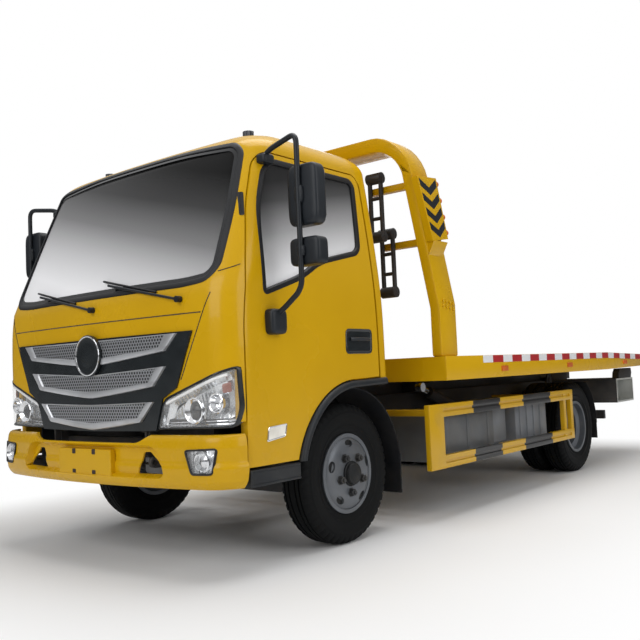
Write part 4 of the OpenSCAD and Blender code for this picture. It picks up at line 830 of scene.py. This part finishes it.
# Columns: x, height, radius and depth of the projector and of the reflector outboard of it
LAMP_UNITS = [(752, 803, 62, -975), (882, 838, 48, -948)]
units = [faced([(y + 4, r), (y - 14, r + 3), (y - 17, r - 1), (y - 14, r - 7), (y + 20, r * 0.55), (y + 10, r * 0.3),
                (y + 6, 0.1)], (x, z), 40) for x, z, r, y in LAMP_UNITS]
x, z, r, y = LAMP_UNITS[0]
projector_lens = faced([(y + 12, r * 0.62), (y - 4, r * 0.55), (y - 12, r * 0.34), (y - 16, 0.1)], (x, z), 32)
shelf_x = np.linspace(560, 960, 30)
shelves = [tube(on_front(shelf_x, z + 0.03 * (shelf_x - 560), -28.0), 5, 8) for z in (728, 742)]
guide_path = bent([(574, 0, 842), (782, 0, 918), (966, 0, 980)], 90, 6)
guide = tube(on_front(guide_path[:, 0], guide_path[:, 2], -6.0), 8, 10)
turn_lamp = filled(eased([(916, 884), (950, 890), (948, 938), (914, 926)], 8), on_front, -18, 5)
for name, surface, finish, slot, node in (
        ("lamp_bowls", lamp_bowl, lamp_silver, "lamp_lens", "headlamps"),
        ("lamp_edges", lamp_edge, gloss_black, "gloss_black", ""),
        ("lamp_covers", lamp_cover, clear_cover, "lamp_lens", ""),
        ("lamp_projectors", joined(*units, *shelves), chrome, "silver_trim", ""),
        ("projector_lenses", projector_lens, frit_black, "lamp_lens", ""),
        ("light_guides", guide, guide_white, "lamp_lens", ""),
        ("turn_lamps", turn_lamp, turn_lens, "amber_lens", "")):
    put_piece(name, paired(surface), finish, "cab", node)

# Bumper: one steel pressing in body colour with a sloped recess round the plate panel, two towing holes and fog
# lamps in black surrounds. It is bolted to the frame.
BUMPER_HALF_W, BUMPER_FACE, BUMPER_END, BUMPER_TOP, BUMPER_WALL = 1020.0, 1115.0, 886.0, 690.0, 20.0
BUMPER_CORNER_R, BUMPER_BOW_R, FOG_LOW, FOG_HIGH = 190.0, 4900.0, 506.0, 627.0
# Columns: height, and how far the sides and the face stand back there
BUMPER_ROWS = [(432, 34, 30), (448, 22, 17), (470, 10, 8), (532, 0, 0), (548, 3, 3), (560, 10, 10), (630, 8, 8),
               (664, 11, 12), (682, 14, 19), (690, 18, 34)]
bumper_z = np.linspace(432, BUMPER_TOP, 44)
row_z, *row_sets = np.array(BUMPER_ROWS).T
bumper_inset, bumper_set = (np.interp(bumper_z, row_z, values) for values in row_sets)


def bumper_loft(t, reach=0.0):
    """The bumper's outer form grown inwards by t, its ends moved by reach."""
    z = bumper_z.copy()
    z[0], z[-1] = z[0] - reach, z[-1] + reach
    return ring_loft(z, BUMPER_HALF_W - bumper_inset - t, bumper_set - BUMPER_FACE + t, BUMPER_CORNER_R - t,
                     0 * z - 500, BUMPER_BOW_R)


def bumper_y(x, z, proud):
    """Y of the bumper's face at x and z, in its bowed middle and round its corners."""
    return nose_y(x, BUMPER_HALF_W - np.interp(z, bumper_z, bumper_inset) + proud,
                  np.interp(z, bumper_z, bumper_set) - BUMPER_FACE - proud, BUMPER_CORNER_R + proud, BUMPER_BOW_R)


def on_bumper(x, z, proud):
    return at_points(x, bumper_y(x, z, proud), z)


def on_fog(x, z, proud):
    """A place on the even surface between the bumper's face at the fog lamp's lower edge and at its upper one."""
    share = (z - FOG_LOW) / (FOG_HIGH - FOG_LOW)
    low, high = (bumper_y(x, level + 0 * z, proud + 2) for level in (FOG_LOW, FOG_HIGH))
    return at_points(x, (1 - share) * low + share * high, z)


fog_outline = eased([(791, 506), (906, 508), (924, 627), (750, 619)], 16)
tow_outline = eased([(404, 497), (612, 499), (492, 606), (446, 604)], 9)
recess_outline = eased([(-632, 481), (632, 481), (562, 640), (-562, 640)], 70)
RECESS_SLOPE = [(7, 12), (0, -2), (-19, -40)]
recess_rings = edging(recess_outline, RECESS_SLOPE, on_bumper)[0].reshape(len(RECESS_SLOPE), -1, 3)
recess_ends = [ring[None] * (1, 0, 1) + (0, y, 0) for ring, y in ((recess_rings[0], -1300), (recess_rings[-1], -900))]
recess = carve(capped(np.concatenate([recess_ends[0], recess_rings, recess_ends[1]])), bumper_loft(36.0, 5))
upper_room = carve(bumper_loft(BUMPER_WALL, 5), within=block(-2000, 2000, -1400, 0, 645, 800))
notch = eased([(-530, 720), (-520, BUMPER_TOP + 6), (-440, 650), (440, 650), (520, BUMPER_TOP + 6), (530, 720)],
              (2, 20, 60, 60, 20, 2))
bumper_cuts = [recess, upper_room, bumper_loft(45.0, 5), block(-2000, 2000, -BUMPER_END, 0, 0, 2000),
               prism(notch, "Y", -1300, -800)]
for _, sign in SIDES:
    bumper_cuts += [prism(fog_outline * (sign, 1), "Y", -1300, -800), prism(tow_outline * (sign, 1), "Y", -1300, -900)]
put_piece("bumper_body", carve(bumper_loft(0.0), *bumper_cuts), paint, "chassis", "front_bumper",
          bevel=3, sharp=30)
plate = prism(oblong(-232, 232, 476, 614, 14), "Y", -1099, -1066)
put_piece("plate_panel", plate, paint, "chassis", bevel=5)
# Four dark squares on the plate panel's face stand for its square holes: painted shade in place of openings.
plate_hole_shades = [prism(oblong(x - 15, x + 15, z - 14, z + 14, 6), "Y", -1100, -1097)
               for x in (-88, 88) for z in (491, 600)]
plate_hole_shade = dusty("plate_hole_shade", (0.022, 0.009, 0.006), 0.6, amount=0.1)
put_piece("plate_hole_shades", joined(*plate_hole_shades), plate_hole_shade, "chassis")
fog_edge = edging(fog_outline, [(4, -3), (3, 3), (0, 4), (-4, 2), (-6, -4), (-6, -14)], on_fog)
fog_lens = faced([(-1010, 51), (-1031, 53), (-1033, 47), (-1018, 36), (-1027, 20), (-1031, 0.1)], (842, 566), 36)
for name, surface, finish, slot, node in (
        ("fog_edges", fog_edge, black_rubber, "black_plastic", ""),
        ("fog_bowls", filled(fog_outline, on_fog, -12, -4), lamp_silver, "lamp_lens", "fog_lamps"),
        ("fog_covers", filled(fog_outline, on_fog, -3, 4), clear_cover, "lamp_lens", ""),
        ("fog_lenses", fog_lens, chrome, "silver_trim", "")):
    put_piece(name, paired(surface), finish, "chassis", node)

# Pillar vents: a narrow black slot in each windscreen pillar.
# Each is a moulded insert clipped into the skin.
vent_outline = eased([(-784, 1764), (-769, 1764), (-738, 1890), (-754, 1890)], 6)
vent = joined(edging(vent_outline, [(2, -3), (1, 2.5), (-3, 2.5), (-5, 0.6)], on_left),
              filled(vent_outline, on_left, 0.8))
put_piece("pillar_vents", paired(vent), black_rubber, "cab")

# Door trim: a black handle in a square surround, a small side lamp low on the door, and the door mirrors.
# Each mirror has two padded-edge plastic heads on a bent tube, held at the window's corner and under the belt line.
HANDLE_Z, HANDLE_FRONT, HANDLE_BACK = 1140.0, -40.0, 132.0
MIRROR_X, STEM_X, MIRROR_Y, STEM_Y, UPPER_HEAD_Z, LOWER_HEAD_Z = 1203.0, 1196.0, -605.0, -662.0, 1838.0, 1558.0
trim_black = dusty("trim_black", (0.007, 0.0095, 0.013), 0.42, amount=0.14, Specular_IOR_Level=0.32)
lamp_white = moulded("lamp_white", (0.8, 0.77, 0.7), 0.14, ribs=110.0)
handle_outline = eased([(-84, 1060), (162, 1060), (168, 1198), (-78, 1198)], 30)
handle_plate = joined(edging(handle_outline, [(2, -3), (1, 3), (-3, 5), (-10, 4), (-14, 1.5)], on_left),
                      filled(eased([(-71, 1073), (149, 1073), (155, 1185), (-65, 1185)], 22), on_left, 1.6))
handle_y = np.linspace(HANDLE_FRONT, HANDLE_BACK, 24)
handle_arch = 14 * np.sin(np.pi * (handle_y - HANDLE_FRONT) / (HANDLE_BACK - HANDLE_FRONT)) ** 0.5
handle_bar = tube(at_points(side_x(handle_y, HANDLE_Z, 4.0) + handle_arch, handle_y, HANDLE_Z), 11)
lamp_shape = eased([(-746, 638), (-612, 654), (-598, 714), (-733, 706)], 9)
side_lamp_edge = edging(lamp_shape, [(3, -2), (2, 5), (-2, 7), (-7, 5)], on_left)


def cushion(centre, half, power=0.32, rows=25, columns=48):
    """A box with fully rounded edges: a sphere whose sines and cosines are raised to a small power."""
    def soft(value):
        return np.sign(value) * np.abs(value) ** power
    lift = np.linspace(-np.pi / 2, np.pi / 2, rows)[:, None]
    turn = (np.arange(columns) * 2 * np.pi / columns)[None, :]
    x, y = soft(np.cos(lift)) * soft(np.cos(turn)), soft(np.cos(lift)) * soft(np.sin(turn))
    return sheet(np.array(centre) + np.array(half) * at_points(x, y, soft(np.sin(lift))), around=True)


mirror_arm = bent([(898, -600, 2070), (960, -612, 2112), (STEM_X, STEM_Y, 2143), (STEM_X, STEM_Y, 1372),
                   (1045, -668, 1262), (1000, -672, 1248)], 55)
mirror_parts = joined(cushion((MIRROR_X, MIRROR_Y, UPPER_HEAD_Z), (95, 45, 154)),
                      cushion((MIRROR_X, MIRROR_Y, LOWER_HEAD_Z), (95, 45, 70)),
                      tube(mirror_arm, 14), cushion((1015, -670, 1224), (42, 58, 64), 0.4),
                      cushion((930, -600, 2076), (34, 42, 26), 0.45),
                      cushion((STEM_X, STEM_Y + 10, UPPER_HEAD_Z), (26, 18, 44), 0.5),
                      cushion((STEM_X, STEM_Y + 10, LOWER_HEAD_Z), (24, 18, 28), 0.5))
mirror_glass = joined(*[prism(oblong(MIRROR_X - 82, MIRROR_X + 82, z - half, z + half, radius), "Y", -566, -558.5)
                        for z, half, radius in ((UPPER_HEAD_Z, 138, 36), (LOWER_HEAD_Z, 58, 32))])
put_on_doors("mirror_heads", mirror_parts, trim_black, "mirror", sharp=50)
put_on_doors("mirror_glass", mirror_glass, chrome)
put_on_doors("handle_plate", handle_plate, gloss_black)
put_on_doors("handle", handle_bar, trim_black)
put_on_doors("side_lamp_edge", side_lamp_edge, chrome)
put_on_doors("side_lamp", filled(lamp_shape, on_left, 4, 4), lamp_white)

# Cab's plastic trim: wheel arch flares, entry steps with a skirt below, mudguards and wipers, moulded in black and
# screwed on. The wiper blades are rubber strips on the arms, and smoked marker lamps stand on the roof.
dress(trim_black, "cab_steps", bevel=0.006)
# Columns: share of the flare's width from the wheel outwards, and X there
flare_profile = np.array([(0, 955), (0, 1012), (0.12, 1019.5), (0.3, 1022.5), (0.75, 1019), (0.94, 1013), (1, 1005),
                          (1, 955)])
flare_low, flare_up = (arch_edge(radius)[:, None] for radius in (ARCH_R - 2, ARCH_R + FLARE_W))
flare_yz = flare_low + (flare_up - flare_low) * flare_profile[None, :, :1]
flare = capped(at_points(flare_profile[:, 1], flare_yz[..., 0], flare_yz[..., 1]))
put_piece("flare_lips", paired(flare), trim_black, "cab", "arch_flares", sharp=40)
put_piece("step_skirts", paired(block(988, 1003, -866, -502, 443, 502)), trim_black, "cab", bevel=4)
splash_black = dusty("splash_black", (0.004, 0.0045, 0.006), 0.6, amount=0.08, Specular_IOR_Level=0.2)
dress(splash_black, "front_mudguards", "rear_mudguards", bevel=0.003)
dress(trim_black, "wipers")
WIPER_PIVOTS, BLADE_Z, BLADE_SLOPE = (10.0, 690.0), 1366.0, 0.22
blades = []
for x in WIPER_PIVOTS:
    blade_x = np.linspace(x - 640, x - 170, 30)
    blades.append(tube(on_front(blade_x, BLADE_Z + BLADE_SLOPE * (x - blade_x), 8.0), 6, 8))
put_piece("wiper_blades", joined(*blades), black_rubber, "cab")
dress(moulded("smoked_lens", (0.03, 0.035, 0.05), 0.14, ribs=120.0), "roof_markers", bevel=0.008)

# Inside the cab: foam seats in dark cloth on a steel deck, a moulded dashboard and the steering wheel.
# The seats' cushions are bolted down, and the driver's place is on the left.
seat_cloth, cloth_at, cloth_link = finish_of("seat_cloth", (0.05, 0.052, 0.058), 0.9, Sheen_Weight=0.3)
weave_x, weave_y, weave_z = cloth_at.axes()
weave = ((weave_x * 260.0) % 1.0).ramp(0.3, 0.7) * (((weave_y + weave_z) * 260.0) % 1.0).ramp(0.3, 0.7)
cloth_tone = cloth_at.noise(14.0, 4.0).ramp(0.3, 0.7)
cloth_link("Base Color", cloth_tone.blend((0.035, 0.037, 0.042, 1), (0.06, 0.062, 0.068, 1)))
relief(cloth_at, cloth_link, weave, 0.001)
SEAT_DECK_Z, SEAT_SEAMS, SEAM_DEPTH = 975.0, np.array([-0.62, 0.62]), 0.08


def stuffed(centre, half):
    """A padded block with rounded edges, swollen between its stitched seams across X."""
    points, faces = cushion(centre, half, 0.36, 41, 72)
    across = (points[:, 0] - centre[0]) / half[0]
    gap = np.min(np.abs(across[:, None] - SEAT_SEAMS[None, :]), axis=1)
    lift = 1 - SEAM_DEPTH * np.exp(-(gap / 0.05) ** 2)
    return centre + (points - centre) * np.stack([np.ones_like(lift), lift, lift], -1), faces


def leaned(surface, pivot, angle):
    """A surface turned about an X axis through a pivot of (y, z)."""
    points, faces = surface
    y, z = points[:, 1] - pivot[0], points[:, 2] - pivot[1]
    return np.stack([points[:, 0], pivot[0] + y * math.cos(angle) - z * math.sin(angle),
                     pivot[1] + y * math.sin(angle) + z * math.cos(angle)], -1), faces


seats = []
for x, w in ((-560.0, 258.0), (-60.0, 178.0), (540.0, 258.0)):
    pan = stuffed(np.array([x, -160, SEAT_DECK_Z + 112]), np.array([w, 262, 78]))
    back = stuffed(np.array([x, 132, SEAT_DECK_Z + 430]), np.array([w, 62, 290]))
    rest = cushion((x, 204, SEAT_DECK_Z + 742), (w * 0.52, 42, 40), 0.5)
    seats.append(joined(pan, leaned(back, (132, SEAT_DECK_Z + 150), math.radians(-7)), rest,
                        block(x - w + 40, x + w - 40, -380, 60, SEAT_DECK_Z, SEAT_DECK_Z + 60)))
seat_piece = put_piece("seat_cushions", joined(*seats), seat_cloth, "cab", "seats", sharp=60)
dress(trim_black, "dashboard", "steering_wheel", bevel=0.01)
cluster = prism(eased([(390, 1250), (690, 1250), (680, 1336), (400, 1336)], 30), "Y", -800, -742)
vents = [prism(oblong(x - 60, x + 60, 1180, 1228, 12), "Y", -705, -686) for x in (-780, -120, 120, 800)]
put_piece("dash_cluster", joined(cluster, *vents), gloss_black, "cab", bevel=6)

# Bed: a welded steel deck in body colour that tilts with its frame and slides back along it, with chequer plate
# on top, a red and white reflective strip along each side and amber side lamps. The open box across the frame's
# tail is lined with galvanised sheet.
DECK_FRONT, DECK_TAIL, DECK_TOP, DECK_HALF_W, TAIL_L, TAIL_DROP = 756.0, 4880.0, 1030.0, 1145.0, 1290.0, 34.0
dress(paint, "deck", bevel=0.006)
dress(paint, "gantry", "light_boxes", bevel=0.012)
dress(chassis_black, "tilt_frame", "tail_box", "wheel_dollies", "winch", "tilt_barrels", bevel=0.003)
dress(chrome, "tilt_rods")
dress(amber_lens, "marker_lamps", bevel=0.004)
galvanised = dusty("galvanised", (0.45, 0.46, 0.44), 0.5, amount=0.3, Metallic=0.3)
BOX_END, BOX_TOP, BOX_BOTTOM = 1000.0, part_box("tail_box")[1][2] * 1000 - 100, 545.0
BOX_FRONT, BOX_BACK = DECK_TAIL - 665, DECK_TAIL - 190


def in_tail_box(x0, x1, inset):
    """A block along X that keeps an inset from the tail box's four outer faces."""
    return block(x0, x1, BOX_FRONT + inset, BOX_BACK - inset, BOX_BOTTOM + inset, BOX_TOP - inset)


liner = carve(in_tail_box(620, BOX_END - 1, 7), in_tail_box(640, 1100, 11))
box_rim = carve(in_tail_box(BOX_END - 2, BOX_END + 2, 1), in_tail_box(900, 1100, 16))
put_piece("tail_box_liners", paired(joined(liner, box_rim)), galvanised, "bed_frame")


def deck_height(y, down):
    """A height below the deck's top at y: level, then falling evenly over the tail."""
    return DECK_TOP - down - TAIL_DROP * np.clip((y - DECK_TAIL + TAIL_L) / TAIL_L, 0, 1)


TREADS, STUD_LONG, STUD_SHORT = 24.0, 1.6, 14.0
chequer, chequer_at, chequer_link = finish_of("chequer_plate", (0.42, 0.26, 0.02), 0.42, Metallic=0.2)
tread_x, tread_y, _ = chequer_at.axes()
cell_x, cell_y = (tread_x * TREADS) % 1.0 - 0.5, (tread_y * TREADS) % 1.0 - 0.5
flip = (tread_x.maths("FLOOR", tread_x * TREADS) + tread_y.maths("FLOOR", tread_y * TREADS)) % 2.0
long_side, short_side = cell_x + cell_y, cell_x - cell_y
first = long_side * long_side * STUD_LONG + short_side * short_side * STUD_SHORT
second = long_side * long_side * STUD_SHORT + short_side * short_side * STUD_LONG
stud = 1.0 - (first * (1.0 - flip) + second * flip).ramp(0.35, 0.7)
worn = chequer_at.noise(2.2, 5.0).ramp(0.4, 0.75)
chequer_link("Base Color", (worn * 0.5).blend((0.46, 0.27, 0.006, 1), (0.24, 0.2, 0.14, 1)))
chequer_link("Roughness", 0.36 + worn * 0.3)
relief(chequer_at, chequer_link, stud, 0.003, 0.9)
plate_y = np.array([1240.0, 2400.0, DECK_TAIL - TAIL_L, DECK_TAIL - 4])[:, None]
deck_plate = sheet(at_points(np.linspace(-1080, 1080, 3), plate_y, deck_height(plate_y, 3.0)))
put_piece("deck_plate", deck_plate, chequer, "bed")

TAPE_START, TAPE_PITCH, TAPE_H = 1245.0, 298.0, 50.0
tape, tape_at, tape_link = finish_of("reflective_tape", (0.8, 0.8, 0.8), 0.3)
tape_run = (tape_at.axes()[1] - (TAPE_START * 0.001 + AXLE_Y)) * (1000 / TAPE_PITCH)
tape_red = (tape_run % 1.0).ramp(0.474, 0.482)
tape_link("Base Color", tape_red.blend((0.80, 0.81, 0.82, 1), (0.42, 0.012, 0.016, 1)))
tape_y = np.linspace(TAPE_START, DECK_TAIL - 2, 40)
tape_out, tape_down = np.array([(-2, 1.0), (1, 1.5), (1, TAPE_H), (-2, TAPE_H + 1)]).T[:, :, None]
tape_strip = sheet(at_points(DECK_HALF_W + tape_out, tape_y, deck_height(tape_y, tape_down)))
put_piece("reflective_strips", paired(tape_strip), tape, "bed")

# Gantry panels: black chevrons on the yellow faces of the lamp boxes, and painted bolt heads where the posts bend.
# The boxes are bolted to the posts.
POST_BEND_Z, POST_LEAN = 1335.0, math.radians(17)


def lean(z):
    """How far forward of its foot a post stands at a height."""
    return (z - POST_BEND_Z) * math.tan(POST_LEAN)


box_low, box_high, post_y = 1745.0, 2130.0, DECK_FRONT + 18
panel = np.array([[(post_y + 10 - lean(box_low), box_low), (post_y + 209 - lean(box_low + 30), box_low + 30)],
                  [(post_y - 20 - lean(box_high), box_high), (post_y + 209 - lean(box_high + 20), box_high + 20)]])


def on_panel(points):
    """Shares across and up the lamp box's outer face, as (y, z)."""
    s, t = np.asarray(points, float).T[:, :, None]
    return (1 - t) * ((1 - s) * panel[0, 0] + s * panel[0, 1]) + t * ((1 - s) * panel[1, 0] + s * panel[1, 1])


chevron = np.array([(0.06, 0.16), (0.5, 0.02), (0.94, 0.16), (0.94, 0.28), (0.5, 0.14), (0.06, 0.28)])
chevrons = [prism(on_panel(chevron + (0, 0.02 + 0.225 * k)), "X", 1154.0, 1156.0) for k in range(4)]
put_piece("chevrons", paired(joined(*chevrons)), trim_black, "bed")
bolts = [(1110, post_y + 40 + 42 * i, 1352 + 34 * j - 6 * i) for i in range(4) for j in range(2)]
bolt_heads = [sheet(turned([(-1, 0.1), (-1, 11), (8, 11), (10, 8), (10, 0.1)], at, 6), True) for at in bolts]
put_piece("gantry_bolts", paired(joined(*bolt_heads)), paint, "bed", sharp=25)

# Side guards and stowage: steel rails striped in yellow and black on brackets, with the fuel tank, battery box and
# tool boxes behind them.
guard, guard_at, guard_link = finish_of("guard_paint", (0.6, 0.35, 0.003), 0.3)
guard_y = guard_at.axes()[1]
STRIPES = [value * 0.001 + AXLE_Y for value in (1179.0, 1573.0, 1947.0, 2438.0)]
dark = sum(((guard_y > a) * (guard_y < b) for a, b in (STRIPES[:2], STRIPES[2:])), start=guard_y * 0.0)
guard_dirt = guard_at.noise(8.0, 5.0).ramp(0.45, 0.8) * 0.12
guard_tone = dark.blend((0.60, 0.345, 0.003, 1), (0.014, 0.014, 0.015, 1))
guard_link("Base Color", guard_dirt.blend(guard_tone, (0.14, 0.12, 0.09, 1)))
guard_link("Roughness", 0.28 + guard_dirt)
relief(guard_at, guard_link, guard_at.noise(160.0), 0.0003, 0.12)
dress(guard, "side_guards", bevel=0.004)
tank_grey = dusty("tank_grey", (0.085, 0.09, 0.095), 0.38, amount=0.3)
box_grey = dusty("box_grey", (0.15, 0.16, 0.175), 0.42, amount=0.3)
dress(tank_grey, "fuel_tank", bevel=0.006)
dress(box_grey, "side_boxes", bevel=0.006)
red_lens = moulded("red_lens", (0.42, 0.01, 0.01), 0.14, ribs=60.0)
dress(red_lens, "tail_lamps", bevel=0.01)
